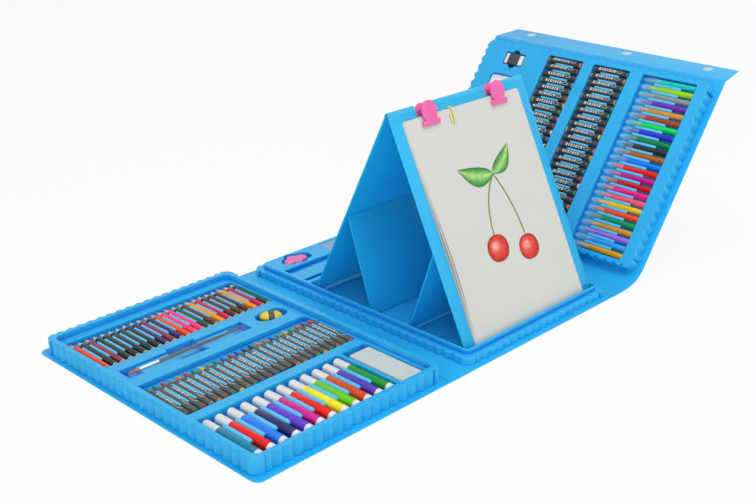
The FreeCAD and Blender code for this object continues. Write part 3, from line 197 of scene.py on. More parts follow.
def finish(name, base, spread, patch, grain, relief, rough, **sockets):
    """A procedural material; patch, grain and relief are in millimetres, other words name shader sockets."""
    material = bpy.data.materials.new(name)
    material.use_nodes = True
    tree = material.node_tree
    place = node(tree, "ShaderNodeTexCoord").outputs["Object"]
    cloud = node(tree, "ShaderNodeTexNoise", {"Vector": place, "Scale": 1000 / patch, "Detail": 3.0})
    fine = node(tree, "ShaderNodeTexNoise", {"Vector": place, "Scale": 1000 / grain, "Detail": 2.0})
    swings = []
    for noise, middle, swing in ((cloud, 1.0, spread), (fine, rough, GLOSS_SWING)):
        swings.append(node(tree, "ShaderNodeMapRange", {
            "Value": noise, "From Min": NOISE_LOW, "From Max": NOISE_HIGH,
            "To Min": middle - swing, "To Max": middle + swing}))
    value, gloss = swings
    paint = colour(base) if base else node(tree, "ShaderNodeAttribute", attribute_name="paint")
    tint = node(tree, "ShaderNodeHueSaturation", {"Value": value, "Color": paint}, name="tint")
    bump = node(tree, "ShaderNodeBump", {"Height": fine, "Distance": relief / 1000, "Strength": 1.0})
    shader = tree.nodes["Principled BSDF"]
    for socket, source in (("Base Color", tint), ("Roughness", gloss), ("Normal", bump)):
        tree.links.new(source.outputs[0], shader.inputs[socket])
    for word, setting in sockets.items():
        shader.inputs[word.replace("_", " ")].default_value = setting
    return material


print("common finish ready")

# %% [markdown]
# ## Finishes of the case
# The case is polypropylene sheet with a leathery embossing, the trays are thermoformed from a smoother
# sheet, and the easel boards are a thin sheet of the same kind. Light sinks into all of them. The numbers
# after the colour are its spread, then patch, grain and relief in millimetres, then the roughness.

# %% Case finishes
SHEET_GLOSS = {"Specular_IOR_Level": 0.3, "Subsurface_Weight": 0.2, "Subsurface_Scale": 0.003}
BOARD_GLOSS = {"Specular_IOR_Level": 0.3, "Subsurface_Weight": 0.85, "Subsurface_Scale": 0.007,
               "Subsurface_Radius": (0.5, 0.9, 1.0)}
# The second blue is painted shade for the hollows of the trays.
TRAY_BLUE, HOLLOW_SHADE_BLUE = "2EB4EE", "0E74D6"
# The embossing spreads the shine of the covers into a soft sheen.
case_sheet = finish("embossed polypropylene sheet", "28B4EE", 0.05, 60, 0.9, 0.035, 0.42, **SHEET_GLOSS)
# Drawn over a mould, the tray sheet stays smooth and a little glossier than the covers.
tray_sheet = finish("thermoformed polystyrene tray", TRAY_BLUE, 0.035, 45, 1.6, 0.012, 0.36, **SHEET_GLOSS)
# A rib is stretched thin, so light comes through and it looks paler than the tray; the paler colour is
# also a painted highlight for the light that the rounded ribs and the easel's foot beads catch.
rib_sheet_painted_highlight = finish("thermoformed polystyrene, drawn thin", "58C8F8", 0.05, 12, 1.6, 0.012, 0.32)
# The boards let so much light through that their shaded inner sides still glow blue.
easel_sheet = finish("rolled polypropylene board", "22B4F0", 0.04, 60, 1.2, 0.015, 0.34, **BOARD_GLOSS)
# Along the ridge the sheet is only a skin, and shows as a plain even blue.
hinge_sheet = finish("rolled polypropylene, folded thin", "2CB4E8", 0.04, 60, 1.2, 0.015, 0.36)
# The nap of hooks and loops takes all the shine away.
dot_fabric = finish("nylon hook-and-loop dot", "C6D6EE", 0.08, 4, 0.7, 0.25, 0.85)
print("case finishes made")

# %% [markdown]
# ## Deeper blue in the hollows
# In the pockets and flutes of a tray the light bounces from blue to blue, so the colour there is deeper.
# That shade is painted into the tray's colour. It could be painted by hand, but an Ambient Occlusion node
# finds every hollow by itself. It looks only at the tray's own shape, so the tools that lie in the pockets
# add no painted shade to it.

# %% Hollow shade
HOLLOW_REACH, DEEP_FROM, DEEP_TO = 16.0, 0.35, 0.85
tree = tray_sheet.node_tree
reach = {"Distance": HOLLOW_REACH / 1000}
hollow = node(tree, "ShaderNodeAmbientOcclusion", reach, samples=8, only_local=True)
depth = node(tree, "ShaderNodeMapRange", {"Value": hollow.outputs["AO"], "From Min": DEEP_FROM,
                                          "From Max": DEEP_TO, "To Min": 1.0, "To Max": 0.0})
# Painted shade: where the tray is hollow, its colour turns to the deeper blue.
blues = {0: depth, 6: colour(TRAY_BLUE), 7: colour(HOLLOW_SHADE_BLUE)}
deeper = node(tree, "ShaderNodeMix", blues, data_type="RGBA")
tree.links.new(deeper.outputs[2], tree.nodes["tint"].inputs["Color"])
print("tray finish:", len(tree.nodes), "nodes")

# %% [markdown]
# ## Plates from outlines
# A tray or a pocket floor is a plate with an outline and holes. It could be cut with booleans, but
# Blender's flat curve fills an outline, leaves its holes open and rounds its edges at once. Every shape is
# then finished in the same way: doubled points are merged, faces turned outwards, and flat tops kept
# flat-shaded.

# %% Plates
LEVEL_FACE = 0.9999


def plain(made):
    """The finished shape of an object as a plain mesh; the object itself is taken away."""
    graph = bpy.context.evaluated_depsgraph_get()
    mesh = bpy.data.meshes.new_from_object(made.evaluated_get(graph), depsgraph=graph)
    bpy.data.objects.remove(made)
    return mesh


def finished(mesh, limit=40.0, merge=0.002):
    """Merges doubled points, turns faces outwards and shades smooth between the sharp edges."""
    shape = bmesh.new()
    shape.from_mesh(mesh)
    bmesh.ops.remove_doubles(shape, verts=shape.verts, dist=merge)
    bmesh.ops.recalc_face_normals(shape, faces=shape.faces)
    for face in shape.faces:
        face.smooth = True
    for edge in shape.edges:
        if len(edge.link_faces) == 2:
            flat = [abs(face.normal.z) > LEVEL_FACE for face in edge.link_faces]
            edge.smooth = flat[0] == flat[1] and edge.calc_face_angle(0) < math.radians(limit)
    shape.to_mesh(mesh)
    shape.free()
    return mesh


def slab(outlines, low, high, ease=0.0, turns=1):
    """A plate from low to high: closed outlines, those inside others being holes, with rounded edges."""
    curve = bpy.data.curves.new("slab", "CURVE")
    curve.dimensions = "2D"
    curve.fill_mode = "BOTH"
    curve.extrude = (high - low) / 2 - ease
    curve.bevel_depth = ease
    curve.bevel_resolution = turns
    curve.offset = -ease
    for outline in outlines:
        spline = curve.splines.new("POLY")
        spline.points.add(len(outline) - 1)
        for point, corner in zip(spline.points, outline):
            point.co = (corner[0], corner[1], 0, 1)
        spline.use_cyclic_u = True
    mesh = plain(shown("slab", curve))
    mesh.transform(Matrix.Translation((0, 0, (low + high) / 2)))
    return finished(mesh)


def arc(x, y, radius, start, stop, steps):
    """Points along an arc, angles in degrees."""
    angles = [math.radians(start + (stop - start) * step / steps) for step in range(steps + 1)]
    return [(x + radius * math.cos(angle), y + radius * math.sin(angle)) for angle in angles]


def corners(low_x, high_x, low_y, high_y, radius):
    """Centres of a rectangle's round corners, anticlockwise, each with the angle where its arc starts."""
    return ((high_x - radius, low_y + radius, -90), (high_x - radius, high_y - radius, 0),
            (low_x + radius, high_y - radius, 90), (low_x + radius, low_y + radius, 180))


def rounded(low_x, high_x, low_y, high_y, radius, steps=6):
    """A rectangle with rounded corners, anticlockwise."""
    return [point for x, y, start in corners(low_x, high_x, low_y, high_y, radius)
            for point in arc(x, y, radius, start, start + 90, steps)]


print("a rounded outline has", len(rounded(0, 60, 0, 40, 5)), "points")

# %% [markdown]
# ## Skins over rings
# A stick is a profile turned about its axis, a snap rib is a stack of rounded rings, and a bent sheet is a
# row of thin rectangles. All three are rings of points with a skin between them, so one function makes the
# faces.

# %% Skins
def skin(rings, caps=()):
    """A mesh over rings of equally many points, closed on the rings that caps names by number."""
    count = len(rings[0])
    numbers = [range(place * count, place * count + count) for place in range(len(rings))]
    faces = [tuple(numbers[place]) for place in caps]
    for low, high in zip(numbers, numbers[1:]):
        faces += [(low[turn - 1], low[turn], high[turn], high[turn - 1]) for turn in range(count)]
    mesh = bpy.data.meshes.new("skin")
    mesh.from_pydata([tuple(point) for ring in rings for point in ring], [], faces)
    return mesh


def lathe(profile, sides):
    """A turned body along Y from pairs of place along the axis and radius."""
    angles = [math.tau * turn / sides for turn in range(sides)]
    return finished(skin([[(radius * math.cos(angle), along, radius * math.sin(angle)) for angle in angles]
                          for along, radius in profile]))


def strip(path, low_y, high_y, half):
    """A bent plate of even thickness along a path in the plane of X and Z."""
    low, high = Vector((0, low_y, 0)), Vector((0, high_y, 0))
    rings = []
    for place, centre in enumerate(path):
        ahead = path[min(place + 1, len(path) - 1)] - path[max(place - 1, 0)]
        across = Vector((-ahead.z, 0, ahead.x)).normalized() * half
        upper, lower = centre + across, centre - across
        rings.append((upper + low, lower + low, lower + high, upper + high))
    return finished(skin(rings, caps=(0, -1)))


TURN_TO_X = Matrix.Rotation(math.radians(-90), 4, "Z")
TURN_TO_Y = Matrix.Rotation(math.radians(90), 4, "Z")


def cross_strip(path, low_x, high_x, half):
    """A bent plate along a path of Y and Z, between two places along X."""
    mesh = strip([Vector((y, 0, z)) for y, z in path], -high_x, -low_x, half)
    mesh.transform(TURN_TO_Y)
    return mesh


print("skins, turned bodies and strips ready")

# %% [markdown]
# ## Pieces on the frame
# A piece joins its meshes, shrinks them to metres, rides on a body and may stand for a solid of the frame.
# Where that solid's own shape is right, it is copied and its edges are rounded by a Bevel, or it stays in
# view as it is and only gets a finish.

# %% Pieces
BEVEL_FROM, BEVEL_SHADING, DOUBLED, LEVEL_WITHIN = 35, 38, 0.00001, 1


def piece(name, parts, material, body, nodes=(), place=Matrix()):
    """Joins meshes in millimetres into one object that rides on a body and stands for CAD nodes."""
    shape = bmesh.new()
    for part in parts:
        shape.from_mesh(part)
    mesh = bpy.data.meshes.new(name)
    shape.to_mesh(mesh)
    shape.free()
    mesh.transform(MILLIMETRES @ place)
    mesh.materials.append(material)
    made = shown(name, mesh)
    if body:
        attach(made, body)
    if nodes:
        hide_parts(*nodes)
    return made


def eased(name, node_name, width, turns, material, body):
    """A CAD node's own shape with its edges rounded, standing for that node."""
    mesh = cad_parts[node_name].data.copy()
    shape = bmesh.new()
    shape.from_mesh(mesh)
    bmesh.ops.remove_doubles(shape, verts=shape.verts, dist=DOUBLED)
    bmesh.ops.dissolve_limit(shape, angle_limit=math.radians(LEVEL_WITHIN), verts=shape.verts,
                             edges=shape.edges)
    shape.to_mesh(mesh)
    shape.free()
    made = shown(name, mesh)
    bevel = made.modifiers.new("edge", "BEVEL")
    bevel.width = width / 1000
    bevel.segments = turns
    bevel.limit_method = "ANGLE"
    bevel.angle_limit = math.radians(BEVEL_FROM)
    mesh = plain(made)
    mesh.transform(MILLIMETRES.inverted())
    return piece(name, [finished(mesh, BEVEL_SHADING)], material, body, [node_name])


def dress(node_name, material):
    """Gives a CAD node that stays in view its finish."""
    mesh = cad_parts[node_name].data
    mesh.materials.clear()
    mesh.materials.append(material)


print("piece helpers ready")

# %% [markdown]
# ## A row of sticks as a node tree
# Pencils, crayons, markers, pastels, pens and the ribs between them all stand in straight rows. One
# geometry tree lays a template along a row: it numbers the points, steps them, shifts each a little along
# its pocket and rolls it by a seeded random angle, then makes real mesh of the result.

# %% Row tree
row_tree = bpy.data.node_groups.new("row", "GeometryNodeTree")
row_tree.is_modifier = True
sockets = {}
for label, kind in (("Geometry", "Geometry"), ("Template", "Object"), ("First", "Vector"), ("Step", "Vector"),
                    ("Slack", "Float"), ("Roll", "Float"), ("Seed", "Int"), ("Finish", "Material")):
    socket = row_tree.interface.new_socket(label, in_out="INPUT", socket_type="NodeSocket" + kind)
    sockets[label] = socket.identifier
row_tree.interface.new_socket("Geometry", in_out="OUTPUT", socket_type="NodeSocketGeometry")
inputs = node(row_tree, "NodeGroupInput").outputs
number = node(row_tree, "GeometryNodeInputIndex")
spot = node(row_tree, "ShaderNodeVectorMath", {0: inputs["Step"], "Scale": number}, operation="SCALE")
backward = node(row_tree, "ShaderNodeMath", {0: inputs["Slack"], 1: -1.0}, operation="MULTIPLY")
draws = []
for lowest, highest in ((backward, inputs["Slack"]), (0.0, inputs["Roll"])):
    limits = {2: lowest, 3: highest, "Seed": inputs["Seed"]}
    draw = node(row_tree, "FunctionNodeRandomValue", limits, data_type="FLOAT")
    draws.append(node(row_tree, "ShaderNodeCombineXYZ", {"Y": draw.outputs[1]}))
shift, roll = draws
for move in (inputs["First"], shift):
    spot = node(row_tree, "ShaderNodeVectorMath", {0: spot, 1: move}, operation="ADD")
placed = node(row_tree, "GeometryNodeSetPosition", {"Geometry": inputs["Geometry"], "Position": spot})
model = node(row_tree, "GeometryNodeObjectInfo", {"Object": inputs["Template"]}).outputs["Geometry"]
copies = node(row_tree, "GeometryNodeInstanceOnPoints",
              {"Points": placed, "Instance": model, "Rotation": roll})
real = node(row_tree, "GeometryNodeRealizeInstances", {0: copies})
dressed = node(row_tree, "GeometryNodeSetMaterial", {"Geometry": real, "Material": inputs["Finish"]})
node(row_tree, "NodeGroupOutput", {0: dressed})
print("row tree:", len(row_tree.nodes), "nodes")

# %% [markdown]
# ## Laying a row
# A row starts as one point for each stick. The point carries the stick's paint as an attribute, and the
# paint goes with the copy. The tree's inputs are set by their identifiers before the row is first worked
# out.

# %% Rows
def paint_points(mesh, codes):
    """Gives each point of a mesh its own paint."""
    for point, code in zip(mesh.attributes.new("paint", "FLOAT_COLOR", "POINT").data, codes):
        point.color = colour(code)


def row(template, first, step, paints, material, slack=0.0, roll=0.0, seed=1):
    """One mesh of copies of a template along a row, one copy for each paint."""
    base = bpy.data.meshes.new("row")
    base.from_pydata([(0, 0, 0)] * len(paints), [], [])
    paint_points(base, paints)
    model = bpy.data.objects.new("template", template)
    made = shown("row", base)
    modifier = made.modifiers.new("row", "NODES")
    modifier.node_group = row_tree
    for label, value in (("Template", model), ("First", first), ("Step", step), ("Slack", slack),
                         ("Roll", roll), ("Seed", seed), ("Finish", material)):
        modifier[sockets[label]] = value
    mesh = plain(made)
    bpy.data.objects.remove(model)
    return mesh


print("rows take", len(sockets) - 1, "settings")

# %% [markdown]
# ## The fluted outline of the trays
# The tray walls are a row of rounded columns with soft valleys between them, straight up and down, and the
# corners are plain quarter rounds. The outline walks the four sides and bulges once for every column;
# lifting it straight up makes the wall. A sine gives the bulge, and a small constant under the root rounds
# the valley.

# %% Fluted outline
TRAY_HALF, TRAY_CORNER, CORNER_STEPS = 192.3, 13.0, 8
FLUTE_PITCH, FLUTE_DEPTH, FLUTE_STEPS, VALLEY = 14.3, 2.8, 12, 0.6


def fluted(low_x, high_x, depth=FLUTE_DEPTH):
    """A rectangle whose sides are rows of rounded columns between plain round corners."""
    turns = [arc(x, y, TRAY_CORNER, start, start + 90, CORNER_STEPS)
             for x, y, start in corners(low_x, high_x, -TRAY_HALF, TRAY_HALF, TRAY_CORNER)]
    points = []
    for turn, following in zip(turns, turns[1:] + turns[:1]):
        first = Vector(turn[-1])
        run = Vector(following[0]) - first
        out = Vector((run.y, -run.x)).normalized()
        steps = round(run.length / FLUTE_PITCH) * FLUTE_STEPS
        points += turn
        for step in range(1, steps):
            wave = math.hypot(math.sin(math.pi * step / FLUTE_STEPS), VALLEY) - VALLEY
            swell = wave / (math.hypot(1, VALLEY) - VALLEY)
            points.append(tuple(first + run * step / steps - out * depth * (1 - swell)))
    return points


print("fluted outline of", len(fluted(-458, -181)), "points")

# %% [markdown]
# ## Snap ribs
# Between two sticks stands a rib of the tray. It is thin where a stick is widest and swells above it, which
# is what makes the stick snap in. One rib is a skin over rounded rings, and the row tree repeats it.

# %% Snap ribs
RIB_STEPS, RIB_CROWN, RIB_FOOT = 5, (0, 0.45, 0.9, 1.3), -0.5


def snap_rib(length, height, axis, thin, wide):
    """A rib along Y on a pocket floor: thin at the height of the sticks' axis, wide and half-round on top."""
    levels = [(RIB_FOOT, thin * 0.65), (axis, thin / 2)]
    levels += [(height - wide / 2 * (1 - math.sin(turn)), wide / 2 * math.cos(turn)) for turn in RIB_CROWN]
    end = length / 2 - max(half for level, half in levels)
    rings = []
    for level, half in levels:
        outline = arc(0, end, half, 0, 180, RIB_STEPS) + arc(0, -end, half, 180, 360, RIB_STEPS)
        rings.append([(x, y, level) for x, y in outline])
    return finished(skin(rings, caps=(-1,)), 60)


def ribs(shape, low_x, pitch, count, middle, floor):
    """The ribs between the sticks of one row; their paint is not shown, as the finish has its own colour."""
    return row(shape, (low_x + pitch, middle, floor), (pitch, 0, 0), ["33A9E6"] * (count - 1), rib_sheet_painted_highlight)


print("snap ribs of", len(RIB_CROWN) + 2, "rings")

# %% [markdown]
# ## The left tray
# The left tray is the deep one: a fluted rim stands round a lower platform, so that the middle tray can
# nest in it when the case is shut. Rim, pocketed platform, pocket floors and the two cradles under the
# brush are plates.

# %% Left tray
LEFT_LOW, LEFT_HIGH, LEFT_PITCH, LEFT_COUNT = -444.9, -194.1, 10.45, 24
MARKER_PITCH, MARKER_COUNT = 17.2333, 12
PENCIL_FLOOR, CRAYON_FLOOR, MARKER_FLOOR, FLOOR_FOOT = 8.75, 7.95, 3.75, 1.6
brush_slot = [(-437.9, 45.95), (-370.4, 45.95), (-368.4, 40.95), (-330.4, 40.95), (-328.4, 45.95),
              (-260.9, 45.95), (-260.9, 69.95), (-328.4, 69.95), (-330.4, 74.95), (-368.4, 74.95),
              (-370.4, 69.95), (-437.9, 69.95)]
left_pockets = [
    rounded(LEFT_LOW, -238.1, -177, -79.08, 4), rounded(-233.1, LEFT_HIGH, -177, -79.08, 4),
    rounded(LEFT_LOW, LEFT_HIGH, -64.08, 25.95, 4), rounded(LEFT_LOW, LEFT_HIGH, 86.95, 171, 4),
    brush_slot, rounded(-243.6, -198.6, 45.95, 69.95, 11.9, 10),
]
left_parts = [
    slab([fluted(-458, -181), rounded(-449.4, -189.6, -183.7, 183.7, 8)], 1.5, 21.75, ease=0.9, turns=2),
    slab([rounded(-451, -188, -185, 185, 8), *left_pockets], 2.5, 14.75, ease=0.8, turns=2),
]
for *outline, top in ((-447, -191, -179, -77, 4, MARKER_FLOOR), (-447, -192, -66, 28, 4, CRAYON_FLOOR),
                      (-440, -258, 39, 77, 4, 4.75), (-447, -192, 85, 173, 4, PENCIL_FLOOR),
                      (-245, -197, 44, 72, 11.9, 10, 5.25)):
    left_parts.append(slab([rounded(*outline)], FLOOR_FOOT, top))
for cradle_x in (-415.9, -328.9):
    cradle = rounded(cradle_x, cradle_x + 46, 46.2, 69.7, 1.5)
    left_parts.append(slab([cradle], 2, 11.75, ease=0.9, turns=2))
left_ribs = [
    ribs(snap_rib(41, 7.0, 3.66, 1.9, 4.2), LEFT_LOW, LEFT_PITCH, LEFT_COUNT, 128, PENCIL_FLOOR),
    ribs(snap_rib(44, 7.5, 4.3, 1.8, 4.0), LEFT_LOW, LEFT_PITCH, LEFT_COUNT, -20, CRAYON_FLOOR),
    ribs(snap_rib(46, 11.4, 6.3, 4.4, 7.0), LEFT_LOW, MARKER_PITCH, MARKER_COUNT, -128, MARKER_FLOOR),
]
piece("left_tray_moulding", left_parts, tray_sheet, "left_wing", ["left_tray"])
piece("left_tray_ribs", left_ribs, rib_sheet_painted_highlight, "left_wing")

# %% [markdown]
# ## The right tray
# The right tray hangs on the raised panel. It has no rim: its top is one flat plate with long pockets, and
# the fluted wall runs round it. It is made lying flat in the panel's own frame and then set up at the
# panel's angle.

# %% Right tray
CREASE = Vector((202.0602, 0, 7.9403))
FLAP_CREASE = Vector((377.5741, 0, 242.5546))
WING_ANGLE = math.atan2(FLAP_CREASE.z - CREASE.z, FLAP_CREASE.x - CREASE.x)
WING = Matrix.Translation(CREASE) @ Matrix.Rotation(-WING_ANGLE, 4, "Y")
RIGHT_LOW, RIGHT_HIGH, RIGHT_PITCH, RIGHT_COUNT = 11.7, 273.3, 10.9, 24
PEN_FLOOR, PASTEL_FLOOR, RIGHT_FLUTE_DEPTH = 10.25, 9.85, 3.4
right_pockets = [rounded(RIGHT_LOW, RIGHT_HIGH, low_y, high_y, 3)
                 for low_y, high_y in ((-173.3, -87.28), (-66.28, -4.29), (13.71, 75.71))]
right_pockets.append(rounded(148.8, 228.8, 104.2, 163.2, 8))
right_pockets.append([(245.3, 115.7), (265.3, 115.7)] + arc(263.3, 133.7, 7, -72, 72, 10)
                     + [(265.3, 151.7), (245.3, 151.7)] + arc(247.3, 133.7, 7, 108, 252, 10))
right_parts = [slab([fluted(4, 281, RIGHT_FLUTE_DEPTH), *right_pockets], 0.75, 19.25, ease=0.8, turns=2)]
for *outline, top in ((9, 276, -176, -85, 3, PEN_FLOOR), (9, 276, -69, 78, 3, PASTEL_FLOOR),
                      (147, 276, 102, 166, 3, 9.25)):
    right_parts.append(slab([rounded(*outline)], 0.9, top))
pen_rib = snap_rib(44, 7.6, 4.2, 2.3, 4.4)
pastel_rib = snap_rib(32, 7.8, 4.6, 1.6, 3.8)
right_ribs = [ribs(shape, RIGHT_LOW, RIGHT_PITCH, RIGHT_COUNT, middle, floor) for shape, middle, floor in (
    (pen_rib, -130.3, PEN_FLOOR), (pastel_rib, -35.3, PASTEL_FLOOR), (pastel_rib, 44.7, PASTEL_FLOOR))]
piece("right_tray_moulding", right_parts, tray_sheet, "right_wing", ["right_tray"], WING)
piece("right_tray_ribs", right_ribs, rib_sheet_painted_highlight, "right_wing", place=WING)
print("right tray at", round(math.degrees(WING_ANGLE), 1), "degrees")

# %% [markdown]
# ## The middle tray
# The middle tray is low. Its fluted wall carries a flat ledge, and a straight lip stands on the ledge round
# the recess in which the easel lies when folded. Behind the recess the lip widens into a shelf with two
# grooves, a pocket for a cloud-shaped eraser and one for a little clear box.

# %% Middle tray
CLOUD_X, CLOUD_Y, CLOUD_SPREAD, LOBE_RADIUS, CLOUD_POINTS = -83.3, 164.1, 14, 11, 64
CLOUD_LOBES = ((-1, -0.15, 0.8), (-0.1, 0.3, 1), (0.9, 0, 0.85), (0, -0.4, 0.8))


def cloud_outline(grow):
    """The outline round a cloud of round lobes, found by the farthest lobe in each direction."""
    points = []
    for turn in range(CLOUD_POINTS):
        angle = math.tau * turn / CLOUD_POINTS
        aim = Vector((math.cos(angle), math.sin(angle)))
        reach = 0
        for along, across, share in CLOUD_LOBES:
            centre = Vector((along, across)) * CLOUD_SPREAD
            near = aim.dot(centre)
            inside = (LOBE_RADIUS * share + grow) ** 2 - (centre.length_squared - near ** 2)
            if inside > 0:
                reach = max(reach, near + math.sqrt(inside))
        points.append((CLOUD_X + reach * aim.x, CLOUD_Y + reach * aim.y))
    return points


recess = rounded(-126.7, 126.7, -180.5, 90.1, 3)
shelf_hollows = [rounded(-124.3, 124.3, 128.1, 143.1, 2), rounded(-124.3, -28.3, 97.1, 103.6, 2),
                 cloud_outline(2.2), rounded(-32, 10, 151.1, 177.1, 3)]
lip = rounded(-129.3, 129.3, -183.1, 183.1, 8)
middle_parts = [
    slab([fluted(-138.5, 138.5), recess], 1.5, 10.7, ease=0.9, turns=2),
    slab([lip, recess, *shelf_hollows], 9.5, 17.1, ease=0.9, turns=2),
    slab([rounded(-126, 126, 92, 146, 2)], 10.6, 11.1),
]
piece("middle_tray_moulding", middle_parts, tray_sheet, "middle_panel", ["middle_tray"])
dress("recess_floor", tray_sheet)
print("middle tray and its shelf made")

# %% [markdown]
# ## The sheet of the case
# The case itself is one sheet folded along creases. Its flat panels keep the frame's own shape with a
# little rounding on the cut edges. On the right the sheet is not creased but bends in a smooth sweep up
# into the raised panel. That sweep is one curve: its middle stretch rides on the spine, and its ends are
# strips laid across the joints.

# %% Panels and the swept bend
SHEET_HALF, CREASE_HALF, SWEEP_STEPS = 0.75, 0.9, 36
SPINE_FIRST, SPINE_LAST, COVER_FROM, COVER_TO = 8, 14, 22, 291.95
for name, body in (("middle_cover", "middle_panel"), ("left_cover", "left_wing"),
                   ("left_spine", "left_spine_panel"), ("closing_flap", "flap")):
    eased(name + "_sheet", name, 0.4, 2, case_sheet, body)

sweep_ends = (Vector((142.6, 0, SHEET_HALF)), Vector((190, 0, SHEET_HALF)), WING @ Vector((-3, 0, 0)),
              WING @ Vector((COVER_FROM, 0, 0)))
sweep = []
for t in (step / SWEEP_STEPS for step in range(SWEEP_STEPS + 1)):
    shares = ((1 - t) ** 3, 3 * t * (1 - t) ** 2, 3 * t ** 2 * (1 - t), t ** 3)
    sweep.append(sum((end * share for end, share in zip(sweep_ends, shares)), Vector()))


def crease(x):
    """The short path across a crease, from right to left."""
    return [Vector((x - CREASE_HALF * share, 0, SHEET_HALF)) for share in (-1, -0.5, 0, 0.5, 1)]


LOW_Y, HIGH_Y = (corner.y * 1000 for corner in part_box("right_spine"))
spine = strip(sweep[SPINE_FIRST:SPINE_LAST + 1], LOW_Y, HIGH_Y, SHEET_HALF)
piece("right_spine_sheet", [spine], case_sheet, "right_spine_panel", ["right_spine"])
for name, path, first, second in (
        ("right_crease_sheet", sweep[:SPINE_FIRST + 1], "middle_panel", "right_spine_panel"),
        ("right_bend_sheet", sweep[SPINE_LAST:], "right_spine_panel", "right_wing"),
        ("middle_crease_sheet", crease(-143.5), "middle_panel", "left_spine_panel"),
        ("left_crease_sheet", crease(-177.5), "left_spine_panel", "left_wing")):
    bend = piece(name, [strip(path, LOW_Y, HIGH_Y, SHEET_HALF)], case_sheet, None)
    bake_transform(bend)
cover = slab([rounded(COVER_FROM, COVER_TO, LOW_Y, HIGH_Y, 1)], -SHEET_HALF, SHEET_HALF, ease=0.4)
piece("right_cover_sheet", [cover], case_sheet, "right_wing", ["right_cover"], WING)
dress("flap_dots", dot_fabric)
dress("spine_dots", dot_fabric)
print("sheet width", round(HIGH_Y - LOW_Y, 1), "mm")

# %% [markdown]
# ## The easel
# The easel is two boards hinged at the ridge, each with a strut that swings down to the floor of the
# recess. The boards and struts keep the frame's shape with rounded edges. A round bead stiffens the foot of
# the back board and of the front strut.

# %% Easel boards
EASEL_ANGLE, BOARD_LENGTH, FOOT_Z = math.radians(63.95), 297.0, 3.3
LEAN = Matrix.Rotation(EASEL_ANGLE, 4, "X")
FRONT = Matrix.Translation((0, -177.4, FOOT_Z)) @ LEAN
BACK = Matrix.Translation((0, 83.46, FOOT_Z)) @ Matrix.Rotation(math.pi, 4, "Z") @ LEAN
for name, body in (("easel_front_board", "easel_front"), ("easel_back_board", "easel_back"),
                   ("easel_front_strut", "front_strut"), ("easel_back_strut", "back_strut")):
    eased(name + "_sheet", name, 0.6, 2, easel_sheet, body)

# The beads take the pale rib finish, a painted highlight for the light that they catch.
for name, body, y, radius in (("back_foot_bead", "easel_back", 79.4, 2.9),
                              ("strut_foot_bead", "front_strut", -83.6, 1.9)):
    end = radius * 0.8
    bead = lathe(((-109, 0), (-109, end), (-108, radius), (117, radius), (118, end), (118, 0)), 20)
    lying = Matrix.Translation((0, y, 3.4 + radius)) @ TURN_TO_X
    piece(name, [bead], rib_sheet_painted_highlight, body, place=lying)
print("easel boards lean by", round(math.degrees(EASEL_ANGLE), 1), "degrees")

# %% [markdown]
# ## The ridge of the easel
# Over the ridge runs a thin folded strip, the living hinge, left open where the clips sit. It is a bent
# strip that turns from one board to the other.

# %% Ridge
CLIP_PLACES, CLIP_HALF, HINGE_HALF = (-61.5, 64.7), 17, 0.4
FOLD = ((-4, 1.62), (-1, 2.0), (1.2, 1.6))
easel_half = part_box("easel_front_board")[1].x * 1000
fold = [FRONT @ Vector((0, BOARD_LENGTH + along, out)) for along, out in FOLD]
fold += [BACK @ Vector((0, BOARD_LENGTH + along, out)) for along, out in reversed(FOLD)]
profile = [(point.y, point.z) for point in fold]
ends = [-easel_half, *(x + side * CLIP_HALF for x in CLIP_PLACES for side in (-1, 1)), easel_half]
ridge_parts = [cross_strip(profile, low, high, HINGE_HALF) for low, high in zip(ends[::2], ends[1::2])]
ridge = piece("easel_ridge_hinge", ridge_parts, hinge_sheet, None)
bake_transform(ridge)
print("easel half width", round(easel_half, 1), "mm")

# %% [markdown]
# ## Spring clips
# Two pink clips pinch the paper at the ridge. Their levers are injection moulded, with plump rounded edges
# and a high gloss, so the frame's shapes get a wide bevel. A round knuckle covers each pin.

# %% Spring clips
# Moulded against polished steel, the plastic has small bright highlights.
pink_plastic = finish("glossy polystyrene, pink", "F264AA", 0.04, 12, 0.8, 0.006, 0.22,
                      Subsurface_Weight=0.08)
# Oil-blued steel reflects darkly, with a soft streak of light.
spring_steel = finish("blued spring steel", "9A9DA3", 0.08, 3, 0.3, 0.004, 0.32, Metallic=1.0)
PIN_Y, PIN_Z = -51.51, 264.94
for side, x in zip(("left", "right"), CLIP_PLACES):
    knuckle = lathe(((-10.4, 1.2), (-10.4, 2.6), (-10, 3), (10, 3), (10.4, 2.6), (10.4, 1.2)), 24)
    piece(side + "_clip_knuckle", [knuckle], pink_plastic, "easel_front",
          place=Matrix.Translation((x, PIN_Y, PIN_Z)) @ TURN_TO_X)
    for lever, body in (("front_lever", side + "_clip_lever"), ("rear_lever", "easel_front")):
        name = f"{side}_clip_{lever}"
        eased(name + "_moulding", name, 0.9, 3, pink_plastic, body)
    dress(side + "_clip_pin", spring_steel)
    dress(side + "_clip_spring", spring_steel)
print("spring clips at", CLIP_PLACES)

# %% [markdown]
# ## The paper clip
# A gold wire clip hangs over the top edge of the paper. The wire is bent in one plane apart from the hook
# at its top, and a curve with a round section makes it.

